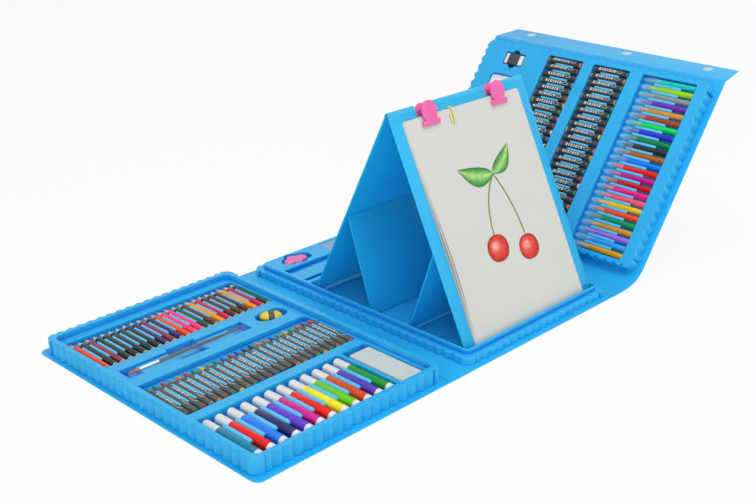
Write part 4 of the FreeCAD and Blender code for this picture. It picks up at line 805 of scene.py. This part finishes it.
# %% Paper clip
# Thin plating over steel gives a pale gold that is not quite a mirror.
gold_wire = finish("brass-plated wire", "E0CE70", 0.06, 4, 0.25, 0.003, 0.34, Metallic=0.7)
PAPER_TOP, PAPER_BOTTOM, PAPER_LEFT, PAPER_RIGHT = 284.0, 6.0, -102.5, 107.5
CLIP_X, CLIP_TOP, CLIP_BEND, WIRE, WIRE_Z = -23.9, PAPER_TOP + 1.2, 2.6, 0.85, 4.6
wire_path = [(CLIP_X - 3.0, CLIP_TOP + 0.3, 2.9), (CLIP_X + 0.6, CLIP_TOP + 0.7, 3.4),
             (CLIP_X + 2.2, CLIP_TOP + 0.3, 4.0), (CLIP_X + CLIP_BEND, CLIP_TOP - 1.2, WIRE_Z)]
wire_path += [(x, y, WIRE_Z) for x, y in arc(CLIP_X, CLIP_TOP - 17, CLIP_BEND, 0, -180, 10)]
wire_path.append((CLIP_X - CLIP_BEND, CLIP_TOP - 7, WIRE_Z))
curve = bpy.data.curves.new("wire", "CURVE")
curve.dimensions = "3D"
curve.bevel_depth = WIRE
curve.bevel_resolution = 4
curve.use_fill_caps = True
spline = curve.splines.new("POLY")
spline.points.add(len(wire_path) - 1)
for point, corner in zip(spline.points, wire_path):
    point.co = (*corner, 1)
wire = finished(plain(shown("wire", curve)), 60)
piece("paper_clip_wire", [wire], gold_wire, "easel_front", ["paper_clip"], FRONT)
print("paper clip of", len(wire_path), "bends")

# %% [markdown]
# ## The drawing paper
# A thin pile of sheets hangs from the clips. The sheets do not lie dead flat: their left edges fan apart
# and bow away from the board between the clips and the foot. Each sheet is a fine grid lifted by one rule,
# with a thin thickness added by Solidify.

# %% Paper pile
# Uncoated paper is matt, and its tooth only takes the edge off the light.
paper = finish("uncoated drawing paper", "D2D3CD", 0.012, 60, 0.5, 0.02, 0.8)
SHEET_SHIFTS = (-3.2, -1.0, -2.2, 0.0)
COLUMNS, LINES, PAPER_CORNER, PAPER_WALL, BOARD_GAP, SHEET_GAP = 40, 30, 3.0, 0.22, 2.15, 0.3
BOW_WIDTH, BOW_END, BOW_SINK, BOW_LEAST, BOW_MORE = 60, 0.98, 1.5, 0.5, 1.5


def paper_lift(x, y, sheet):
    """How far a sheet stands off the board: more towards its left edge, below the clips."""
    edge = max(0.0, 1 - (x - PAPER_LEFT) / BOW_WIDTH) ** 2
    drop = (PAPER_TOP - y) / (PAPER_TOP - PAPER_BOTTOM)
    bow = math.sin(math.pi * BOW_END * max(0.0, drop) ** BOW_SINK) ** 2
    return BOARD_GAP + SHEET_GAP * sheet + edge * bow * (BOW_LEAST + BOW_MORE * sheet)


def paper_sheet(sheet):
    """One sheet as a grid with round top corners, its left edge a little out of line with the others."""
    width = PAPER_RIGHT - PAPER_LEFT
    points, faces = [], []
    for line in range(LINES + 1):
        for column in range(COLUMNS + 1):
            along = width * (1 - math.cos(math.pi * column / COLUMNS)) / 2
            inside = PAPER_CORNER - min(PAPER_CORNER, along, width - along)
            top = PAPER_TOP - PAPER_CORNER + math.sqrt(PAPER_CORNER ** 2 - inside ** 2)
            x = PAPER_LEFT + SHEET_SHIFTS[sheet] + along
            y = PAPER_BOTTOM + (top - PAPER_BOTTOM) * line / LINES
            points.append((x, y, paper_lift(x, y, sheet)))
    for line in range(LINES):
        for low in range(line * (COLUMNS + 1), line * (COLUMNS + 1) + COLUMNS):
            faces.append((low, low + 1, low + COLUMNS + 2, low + COLUMNS + 1))
    mesh = bpy.data.meshes.new("paper")
    mesh.from_pydata(points, [], faces)
    made = shown("paper", mesh)
    wall = made.modifiers.new("wall", "SOLIDIFY")
    wall.thickness = PAPER_WALL
    wall.offset = -1
    return finished(plain(made), 30, 0.0001)


pile = [paper_sheet(sheet) for sheet in range(len(SHEET_SHIFTS))]
piece("drawing_paper_sheets", pile, paper, "easel_front", ["paper_pad"], FRONT)
print("paper:", len(pile), "sheets")

# %% [markdown]
# ## A painted motif
# The top sheet carries a small painted picture in red and green. Here it is a plain pair of cherries with
# two leaves. Each patch of paint is a flat ring-filled shape that follows the sheet, with its own paint at
# every ring, so the colour runs from a dark edge to a light middle as a brush leaves it.

# %% Patches of paint
# Gouache dries matt, and its pigment settles in uneven clouds.
gouache = finish("gouache on paper", None, 0.22, 7, 0.5, 0.02, 0.75)
FRUIT_POINTS, LEAF_STEPS, STEM_STEPS = 40, 16, 20


def patch(rings, hues, lift):
    """A filled shape from rings of equal length, the outermost first, with one hue for each ring."""
    top_sheet = len(SHEET_SHIFTS) - 1
    mesh = skin([[(x, y, paper_lift(x, y, top_sheet) + lift) for x, y in ring] for ring in rings], caps=(-1,))
    paint_points(mesh, [hue for ring, hue in zip(rings, hues) for point in ring])
    return mesh


def cherry(x, y, radius):
    """A round fruit whose light spot lies up and to the left."""
    rings = []
    for share in (1, 0.95, 0.7, 0.42, 0.16):
        aside = radius * 0.28 * (1 - share)
        ring = []
        for angle in (math.tau * turn / FRUIT_POINTS for turn in range(FRUIT_POINTS)):
            plump = 0.94 + 0.05 * math.cos(2 * angle)
            ring.append((x - aside + radius * share * math.cos(angle),
                         y + aside + radius * share * plump * math.sin(angle)))
        rings.append(ring)
    return patch(rings, ("5E1512", "B3261F", "D93A30", "E2574A", "F0A79A"), 0.2)


def leaf(base, tip, width, sag):
    """A pointed leaf between two points, bent to one side, with a pale midrib."""
    base, tip = Vector(base), Vector(tip)
    across = Vector((base.y - tip.y, tip.x - base.x)).normalized()
    rings = []
    for share in (1, 0.93, 0.55, 0.08):
        there, again = [], []
        for t in (step / LEAF_STEPS for step in range(LEAF_STEPS + 1)):
            middle = base.lerp(tip, t) + across * sag * math.sin(math.pi * t)
            half = width * math.sin(math.pi * t ** 0.8) ** 0.9 * share
            there.append(tuple(middle + across * half))
            again.append(tuple(middle - across * half * 0.9))
        rings.append(there + again[::-1])
    return patch(rings, ("173A1E", "2C7A35", "57A84A", "A7CF7C"), 0.25)


def stem(points, half):
    """A thin painted stalk along a bent line."""
    low, bend, high = (Vector(point) for point in points)
    line = [low.lerp(bend, t).lerp(bend.lerp(high, t), t)
            for t in (step / STEM_STEPS for step in range(STEM_STEPS + 1))]
    there, again = [], []
    for place, spot in enumerate(line):
        ahead = line[min(place + 1, STEM_STEPS)] - line[max(place - 1, 0)]
        side = Vector((-ahead.y, ahead.x)).normalized() * half
        there.append(tuple(spot + side))
        again.append(tuple(spot - side))
    return patch([there + again[::-1]], ("7C8A34",), 0.15)


print("patches ready")

# %% [markdown]
# ## The cherries
# Two stalks and two leaves meet in one joint above the fruit, and each patch lies a little higher than the
# one under it, so no two of them flicker.

# %% Cherries
JOINT = (14, 192)
fruit = [stem(((-18, 120), (-16, 165), JOINT), 1.1), stem(((36, 108), (34, 150), JOINT), 1.1),
         leaf(JOINT, (-44, 210), 13, 6), leaf(JOINT, (56, 222), 11, -6),
         cherry(-18, 104, 19), cherry(36, 91, 18)]
piece("painted_cherries", fruit, gouache, "easel_front", place=FRONT)
print("motif of", len(fruit), "patches")

# %% [markdown]
# ## Finishes of the drawing tools
# A pencil is lacquered wood with a waxy lead, a crayon is wax in a paper sleeve, a marker is a glossy
# polypropylene tube. The differences that show are gloss, grain and how much light sinks in, so each finish
# starts from the common one with its own numbers. Where no colour is given, the paint of the row shows.

# %% Tool finishes
# Dipped lacquer is glossy, with the wood's unevenness under it.
pencil_lacquer = finish("nitro lacquer on wood", None, 0.10, 9, 0.5, 0.008, 0.34, Specular_IOR_Level=0.3)
# Cut basswood is pale and matt, with a fleck of grain.
bare_wood = finish("bare basswood", "E2CCA6", 0.12, 2.5, 0.35, 0.03, 0.72)
# Waxy lead has a dull shine and a crumbly edge.
pencil_core = finish("waxy pencil lead", None, 0.12, 2, 0.3, 0.02, 0.55)
# Wax lets a little light in, which softens its shadows.
crayon_wax = finish("pigmented paraffin wax", None, 0.12, 5, 0.6, 0.03, 0.48, Subsurface_Weight=0.06)
# Printed sleeve paper looks dry, and its dark ink is cloudy.
sleeve_paper = finish("matt printed sleeve paper", "545755", 0.12, 6, 0.4, 0.02, 0.62)
pastel_paper = finish("matt black sleeve paper", "303235", 0.14, 6, 0.4, 0.02, 0.6)
# White ink on dark paper is thin and a little grey.
print_ink = finish("white printing ink", "E4E6E6", 0.08, 2, 0.4, 0.006, 0.6)
# Moulded polypropylene has a clean waxy gloss.
marker_tube = finish("moulded polypropylene tube", None, 0.06, 14, 0.8, 0.006, 0.28, Specular_IOR_Level=0.3)
white_tube = finish("moulded white polypropylene", "EEF0F2", 0.03, 10, 0.8, 0.01, 0.36)
print("tool finishes made")

# %% [markdown]
# ## Colour pencils
# Twenty-four short pencils lie with their points to the back. Barrel, sharpened cone and lead are three
# turned shapes laid out by the same row and the same seed, so that each keeps its own material while they
# stay in step.

# %% Pencils
PENCIL_HUES = ("FF440C", "24272A", "942E50", "1E3029", "27221E", "262F3A", "1B352D", "242C32",
               "3A2566", "8E2C4C", "2E2360", "FF490C", "FF3C78", "FF3484", "175840", "5A2E1E",
               "FF9C06", "D0144C", "532B1A", "5A3222", "4A291F", "FF9E08", "CC124A", "0F4E36")
ANY_ROLL, MARK_ROLL = 6.28, 0.5
LEFT_TRAY = {"body": "left_wing", "low_x": LEFT_LOW, "set_up": Matrix()}
RIGHT_TRAY = {"body": "right_wing", "low_x": RIGHT_LOW, "set_up": WING}


def sticks(name, shape, material, slot, nodes, body, low_x, set_up, hues, pitch, start, height, slack, seed,
           roll=ANY_ROLL):
    """One part of every stick in a row, as a piece of its own; start is along Y, slack is the play there."""
    mesh = row(shape, (low_x + pitch / 2, start, height), (pitch, 0, 0), hues, material, slack, roll, seed)
    piece(name, [mesh], material, body, nodes, set_up)


pencil_row = {"hues": PENCIL_HUES, "pitch": LEFT_PITCH, "start": 87.9, "height": 12.41, "slack": 0.5,
              "seed": 3, **LEFT_TRAY}
barrel = lathe(((0.05, 0), (0.05, 3.6), (0.45, 4), (64.05, 4), (67.8, 3.2), (67.8, 3.0)), 18)
cone = lathe(((-0.02, 0), (-0.02, 3.7), (0.06, 3.7), (64, 3.9), (67.6, 3.12), (76.05, 1.3), (76.05, 0)), 18)
lead = lathe(((75.5, 1.28), (76.2, 1.26), (79.3, 0.5), (80.0, 0.25), (80.1, 0)), 12)
sticks("pencil_barrels", barrel, pencil_lacquer, "painted_wood", ["colour_pencils"], **pencil_row)
sticks("pencil_wood", cone, bare_wood, "painted_wood", [], **pencil_row)
sticks("pencil_points", lead, pencil_core, "pencil_core", ["pencil_leads"], **pencil_row)
print("pencils:", len(PENCIL_HUES))

# %% [markdown]
# ## A printed mark
# Crayons and pastels carry a light mark printed on their sleeves. The mark here is only an oval and a few
# dashes. It is cut from flat strips and wrapped on the sleeve, a hair above the paper. The mark is hardly
# rolled, so that it stays on top.

# %% Printed mark
OVAL_STEPS, OVAL_SIDE, OVAL_END = 18, 0.45, 0.6
DASH_STEP, DASH_LENGTH, DASH_LEAN = 4.2, 2.8, 0.5


def wrapped(marks, radius):
    """Flat four-cornered marks, as width and length, wrapped round a stick's upper side along Y."""
    points = [(radius * math.sin(across / radius), along, radius * math.cos(across / radius))
              for mark in marks for across, along in mark]
    mesh = bpy.data.meshes.new("marks")
    mesh.from_pydata(points, [], [tuple(range(first, first + 4)) for first in range(0, len(points), 4)])
    return mesh


def oval_and_dashes(start, half_length, half_width, dashes):
    """A plain printed mark: an oval ring and a line of short dashes after it."""
    marks = []
    angles = [math.tau * turn / OVAL_STEPS for turn in range(OVAL_STEPS + 1)]
    outer = [(half_width * math.cos(angle), start + half_length * math.sin(angle)) for angle in angles]
    inner = [((half_width - OVAL_SIDE) * math.cos(angle), start + (half_length - OVAL_END) * math.sin(angle))
             for angle in angles]
    for turn in range(OVAL_STEPS):
        marks.append((outer[turn], outer[turn + 1], inner[turn + 1], inner[turn]))
    for dash in range(dashes):
        lean = DASH_LEAN * (dash % 2)
        low = start + half_length + 2.0 + dash * DASH_STEP + lean
        high = low + DASH_LENGTH - 2 * lean
        for left, right in ((-2.2, -0.9), (-0.6, 0.6), (0.9, 2.2)):
            marks.append(((left, low), (right, low), (right, high), (left, high)))
    return marks


crayon_mark = wrapped(oval_and_dashes(20, 7.0, 3.0, 7), 4.17)
pastel_mark = wrapped(oval_and_dashes(14, 4.6, 2.3, 7), 4.47)
print("a mark has", len(crayon_mark.polygons), "strips")

# %% [markdown]
# ## Wax crayons
# A crayon is a wax stick with a stepped cone, rolled in a dark paper sleeve. Stick, sleeve and mark are
# three rows in step, like the parts of the pencils.

# %% Crayons
CRAYON_HUES = ("1E4F4B", "2E7D4A", "C8261F", "8A8F90", "E07A28", "C9302A", "1F8A78", "E8C52A",
               "7F8788", "1C8C86", "2560B8", "A82026", "2A58B0", "24305E", "26282A", "E8862C",
               "B8642E", "2456B2", "34A04E", "E6A430", "2C9E4C", "E2502A", "6A4630", "D2322C")
crayon_row = {"hues": CRAYON_HUES, "pitch": LEFT_PITCH, "start": -63.1, "height": 12.25, "slack": 1.0,
              "seed": 5, **LEFT_TRAY}
stick = lathe(((0, 0), (0, 3.4), (0.6, 3.8), (1.3, 3.8), (1.4, 3.5), (66, 3.5), (66.8, 3.55), (68.1, 3.3),
               (69.2, 3.1), (77.6, 1.45), (78.7, 1.0), (79.05, 0)), 18)
sleeve = lathe(((1.2, 3.6), (1.2, 4.1), (64.0, 4.1), (66.5, 3.75), (66.6, 3.5)), 18)
sticks("crayon_wax_sticks", stick, crayon_wax, "wrapped_wax", ["wax_crayons"], **crayon_row)
sticks("crayon_sleeves", sleeve, sleeve_paper, "wrapped_wax", [], **crayon_row)
sticks("crayon_marks", crayon_mark, print_ink, "wrapped_wax", [], roll=MARK_ROLL, **crayon_row)
print("crayons:", len(CRAYON_HUES))

# %% [markdown]
# ## Felt-tip markers
# A marker has a coloured tube, a white plug at the foot and a finely ribbed white cap. The cap's ribs are
# part of its turned shape: every second step round the ring stands a little lower.

# %% Markers
MARKER_HUES = ("0E86A0", "F0170C", "1E82F0", "262A66", "6440D2", "D81C94", "F21A10", "F8EE28",
               "6ACC1A", "D84A10", "553EB2", "1A9630")
CAP_SIDES, CAP_SUNK, RIBBED_FROM, RIBBED_TO = 40, 0.9, 67.5, 89.5
marker_row = {"hues": MARKER_HUES, "pitch": MARKER_PITCH, "start": -175.0, "height": 10.07, "slack": 0.8,
              "seed": 8, **LEFT_TRAY}
tube = lathe(((5.5, 5.2), (5.5, 5.9), (5.8, 6.1), (65.8, 6.1), (66.3, 5.8), (66.4, 5.2)), 24)
plug = lathe(((0, 0), (0, 4.6), (0.6, 5.3), (1.5, 5.6), (5.55, 5.7)), 24)
cap = lathe(((66.3, 5.3), (66.3, 5.65), (67.4, 5.7), (68, 5.7), (87.6, 5.5), (89.2, 5.0), (89.8, 4.0),
             (89.9, 0)), CAP_SIDES)
for point in cap.vertices:
    side = round(math.atan2(point.co.z, point.co.x) * CAP_SIDES / math.tau)
    if side % 2 and RIBBED_FROM < point.co.y < RIBBED_TO:
        point.co.x *= CAP_SUNK
        point.co.z *= CAP_SUNK
sticks("marker_tubes", tube, marker_tube, "marker_barrel", ["marker_barrels"], **marker_row)
sticks("marker_plugs", plug, white_tube, "white_plastic", ["marker_end_plugs"], **marker_row)
sticks("marker_ribbed_caps", cap, white_tube, "white_plastic", ["marker_caps"], **marker_row)
print("markers:", len(MARKER_HUES))

# %% [markdown]
# ## The brush
# A small watercolour brush lies across two cradles. Its handle swells and tapers, the ferrule is a crimped
# metal tube and the hair ends in a soft point. All three are turned along X from one line. A loose film
# sleeve lies over it; it hardly shows but for a pale sheen along its folds.

# %% Brush
# A coat of clear lacquer puts a fine line of light along the dark handle.
black_lacquer = finish("dark grey lacquer", "34373A", 0.10, 12, 0.5, 0.006, 0.30, Coat_Weight=0.3)
# Drawn aluminium is bright, its reflections blurred by the drawing.
ferrule_metal = finish("drawn aluminium", "E8EAEC", 0.05, 6, 0.3, 0.004, 0.30, Metallic=1.0)
# Single hairs are too fine to show, so the colour varies over a millimetre to hint at them.
brush_hair = finish("synthetic brush hair", "B8662C", 0.30, 1.2, 0.3, 0.06, 0.55)
# Clear film is nearly nothing but its sheen, so its alpha is very low.
film = finish("clear polypropylene film", "E4F2FA", 0.03, 10, 6.0, 0.05, 0.2, Alpha=0.05)
ALONG_X = Matrix.Translation((-431.9, 57.95, 13.85)) @ TURN_TO_X
hair = lathe(((0, 0), (0.4, 0.4), (3, 1.1), (8, 1.75), (12.5, 1.85), (15.5, 1.65)), 20)
ferrule = lathe(((14.4, 1.6), (14.4, 1.75), (22, 1.85), (29.8, 1.85), (30.2, 2.0), (31.4, 2.0), (31.8, 1.85),
                 (33.6, 1.85), (34, 2.0), (35.2, 2.0), (35.6, 1.88), (41, 1.95), (41, 1.6)), 24)
handle = lathe(((40.5, 1.6), (41.5, 1.8), (58, 1.95), (97, 1.9), (130, 1.5), (155, 1.1), (161, 0.8),
                (162, 0)), 24)
for name, shape, material, slot, solid in (
        ("brush_hair_tip", hair, brush_hair, "bristle", "brush_bristles"),
        ("brush_metal_ferrule", ferrule, ferrule_metal, "ferrule", "brush_ferrule"),
        ("brush_lacquered_handle", handle, black_lacquer, "black_paint", "brush_handle")):
    piece(name, [shape], material, "left_wing", [solid], ALONG_X)
FILM_FOLDS = ((48.6, 12.4), (50.5, 13.3), (55.4, 14.6), (57.95, 16.2), (60.5, 14.6), (65.4, 13.3),
              (67.3, 12.4))
piece("brush_film_sleeve", [cross_strip(FILM_FOLDS, -434, -266, 0.08)], film, "left_wing")
print("brush made")

# %% [markdown]
# ## The sharpener
# The sharpener is a flattened yellow egg with a dark band round its middle. Both are the same turned ball,
# squeezed to the egg's three half axes, and the band is only the belt of a slightly larger one.

# %% Sharpener egg
# Glossy ABS shows one clear highlight; the matt band shows none.
egg_shell = finish("glossy ABS, yellow", "EBD02E", 0.05, 10, 0.8, 0.006, 0.25)
band_plastic = finish("matt ABS, dark grey", "4A4A42", 0.10, 5, 0.5, 0.02, 0.5)
EGG = Matrix.Translation((-221.1, 57.95, 11.95)) @ Matrix.Rotation(math.radians(-32), 4, "Z")
EGG_RINGS, EGG_SIDES = 18, 40


def ellipsoid(half_x, half_y, half_z, low=-1.0, high=1.0):
    """A flattened ball, or the belt of it between two shares of its long axis X."""
    shares = [(1 - math.cos(math.pi * step / EGG_RINGS)) / 2 for step in range(EGG_RINGS + 1)]
    places = [low + (high - low) * share for share in shares]
    mesh = lathe([(along, math.sqrt(max(0.0, 1 - along ** 2))) for along in places], EGG_SIDES)
    mesh.transform(TURN_TO_X @ Matrix.Diagonal((half_y, half_x, half_z, 1)))
    return finished(mesh)


egg = ellipsoid(14.5, 9.4, 6.5)
belt = ellipsoid(14.7, 9.6, 6.75, -0.26, 0.26)
piece("sharpener_egg", [egg], egg_shell, "left_wing", ["egg_sharpener"], EGG)
piece("sharpener_band", [belt], band_plastic, "left_wing", ["egg_sharpener_band"], EGG)
print("egg of", len(egg.vertices), "points")

# %% [markdown]
# ## The sponge
# The sponge is a block of open foam, softly rounded. Its pores, about two millimetres
# wide, are cells of a Voronoi texture that darken the surface.

# %% Sponge
# Foam scatters light and has no shine at all.
foam = finish("open-cell polyurethane foam", "CDD6D3", 0.03, 8, 0.9, 0.12, 0.9, Subsurface_Weight=0.1)
PORE = 2.2
tree = foam.node_tree
place = node(tree, "ShaderNodeTexCoord").outputs["Object"]
pores = node(tree, "ShaderNodeTexVoronoi", {"Vector": place, "Scale": 1000 / PORE}, feature="F1")
# Painted shade of the pores: the colour darkens near the centre of each Voronoi cell.
dark = node(tree, "ShaderNodeMapRange", {"Value": pores, "From Min": 0.1, "From Max": 0.42,
                                         "To Min": 0.93, "To Max": 1.0})
brightness = tree.nodes["tint"].inputs["Value"]
shade = node(tree, "ShaderNodeMath", {0: brightness.links[0].from_socket, 1: dark}, operation="MULTIPLY")
tree.links.new(shade.outputs[0], brightness)
block = slab([rounded(-228.6, -195.6, -175.5, -87.1, 3.5, 8)], 3.95, 13.45, ease=2.2, turns=4)
sponge = piece("foam_sponge", [block], foam, "left_wing", ["sponge"])
print("sponge with pores of", PORE, "mm")

# %% [markdown]
# ## Oil pastels
# Two columns of short pastels stand in the right tray, black paper sleeves with a bare coloured end showing
# at both sides. They are laid flat in the panel's frame, like the pens beside them.

# %% Pastels
PASTEL_HUES = ("F0D030", "D2622A", "6AB04A", "2A4A8A", "E8862A", "A02A5A", "4A9A3C", "E6DCC8",
               "C83A2A", "2C7AC0", "7A4A30", "E89A30", "D8488A", "6A3E96", "E8C42C", "CC2A28",
               "32363A", "2F9A4A", "1C8684", "8E9394", "2A5AB4", "1F8A6A", "E07A2A", "3C6E70")
FAR_PASTEL_HUES = PASTEL_HUES[:12] + (
    "2C7AC0", "E6DCC8", "A02A5A", "D8488A", "2F9A4A", "E8C42C", "CC2A28", "1C8684", "8E9394", "3A3D40",
    "55595C", "E07A2A")
RIGHT_AXIS = 14.45
stick = lathe(((0, 0), (0, 3.7), (0.5, 4.1), (57.5, 4.1), (58, 3.7), (58, 0)), 18)
sleeve = lathe(((2.3, 3.9), (2.3, 4.4), (55.7, 4.4), (55.7, 3.9)), 18)
for column, start, hues, seed in (("near", -64.28, PASTEL_HUES, 11), ("far", 15.71, FAR_PASTEL_HUES, 12)):
    pastel_row = {"hues": hues, "pitch": RIGHT_PITCH, "start": start, "height": RIGHT_AXIS, "slack": 1.2,
                  "seed": seed, **RIGHT_TRAY}
    solids = ["oil_pastels_" + column]
    sticks("pastel_sticks_" + column, stick, crayon_wax, "wrapped_pastel", solids, **pastel_row)
    sticks("pastel_sleeves_" + column, sleeve, pastel_paper, "wrapped_pastel", [], **pastel_row)
    pastel_row["roll"] = MARK_ROLL
    sticks("pastel_marks_" + column, pastel_mark, print_ink, "wrapped_pastel", [], **pastel_row)
print("pastels:", len(PASTEL_HUES) + len(FAR_PASTEL_HUES))

# %% [markdown]
# ## Watercolour pens
# The pens have thin coloured barrels that taper to a grip and a felt nib, under a pale clear cap. The cap
# is a turned shell. Its plastic lets most of the light through, so a low alpha is enough.

# %% Pens
PEN_HUES = ("E8A00E", "2CA8F0", "A86AE6", "D8942C", "06945A", "FF4808", "F0C80A", "FF5A70",
            "F81488", "CC0812", "C40C8E", "F01808", "0A7CF0", "B85E18", "26282A", "088048",
            "2E28C8", "06D85E", "A83E1E", "D8923C", "7228B0", "8E9494", "A4D810", "0CC8C4")
# Polystyrene is hard and glossy, and shows its colour at full strength.
pen_plastic = finish("moulded pen barrel, polystyrene", None, 0.05, 12, 0.8, 0.005, 0.26,
                     Specular_IOR_Level=0.3)
# The clear cap veils the nib in pale blue and keeps a sharp shine.
clear_cap = finish("clear polystyrene, pale blue", "BFE3F5", 0.05, 8, 0.8, 0.004, 0.16, Alpha=0.25)
pen_row = {"hues": PEN_HUES, "pitch": RIGHT_PITCH, "start": -172.4, "height": RIGHT_AXIS, "slack": 0.6,
           "seed": 15, **RIGHT_TRAY}
barrel = lathe(((0, 0), (0, 3.2), (0.7, 3.8), (2, 4), (53.2, 4), (53.8, 3.5), (60, 3.3), (66, 2.5), (69, 1.2),
                (74, 0.8), (75, 0)), 18)
cap = lathe(((53.6, 3.75), (53.6, 4), (54, 4.05), (72, 3.9), (77.5, 3.2), (81, 2.5), (82, 2.0), (82, 0)), 18)
sticks("pen_coloured_barrels", barrel, pen_plastic, "pen_barrel", ["pen_barrels"], **pen_row)
sticks("pen_clear_caps", cap, clear_cap, "clear_plastic", ["pen_caps"], **pen_row)
print("pens:", len(PEN_HUES))

# %% [markdown]
# ## Eraser, palette and shelf items
# The last few pieces are a white eraser in a grey sleeve, a small white palette, a pink cloud eraser and a
# clear box. Most of their solids already have the right form, so they get rounded edges and their own
# finishes. The cloud is a plate, a little smaller than its solid.

# %% Small items
# Vinyl rubber is dull and soft, and the pink one lets a little light in.
white_rubber = finish("white vinyl rubber", "EDECE6", 0.04, 6, 0.6, 0.02, 0.6)
pink_rubber = finish("pink vinyl rubber", "F07CC0", 0.05, 8, 0.6, 0.02, 0.5, Subsurface_Weight=0.06)
# Card is matt and a little mottled.
sleeve_card = finish("dark grey card", "3C3F44", 0.12, 8, 0.5, 0.02, 0.65)
# The thicker walls of the box show as a pale haze with a sharp shine.
clear_plastic = finish("clear polystyrene", "CFE8F2", 0.05, 8, 0.8, 0.004, 0.14, Alpha=0.45)
eased("white_eraser", "eraser", 1.2, 3, white_rubber, "right_wing")
eased("grey_eraser_sleeve", "eraser_sleeve", 0.3, 2, sleeve_card, "right_wing")
eased("moulded_white_palette", "white_palette", 0.8, 3, white_tube, "right_wing")
CLOUD_SIZE = 0.86
SMALLER = (Matrix.Translation((CLOUD_X - 3.2, CLOUD_Y - 1.2, 0))
           @ Matrix.Diagonal((CLOUD_SIZE, CLOUD_SIZE, 1, 1))
           @ Matrix.Translation((-CLOUD_X, -CLOUD_Y, 0)))
cloud = slab([cloud_outline(-0.6)], 8.3, 17.4, ease=1.2, turns=3)
piece("pink_cloud_eraser", [cloud], pink_rubber, "middle_panel", ["cloud_eraser"], SMALLER)
eased("clear_box", "clear_clip_box", 0.8, 3, clear_plastic, "middle_panel")
print("small items made")
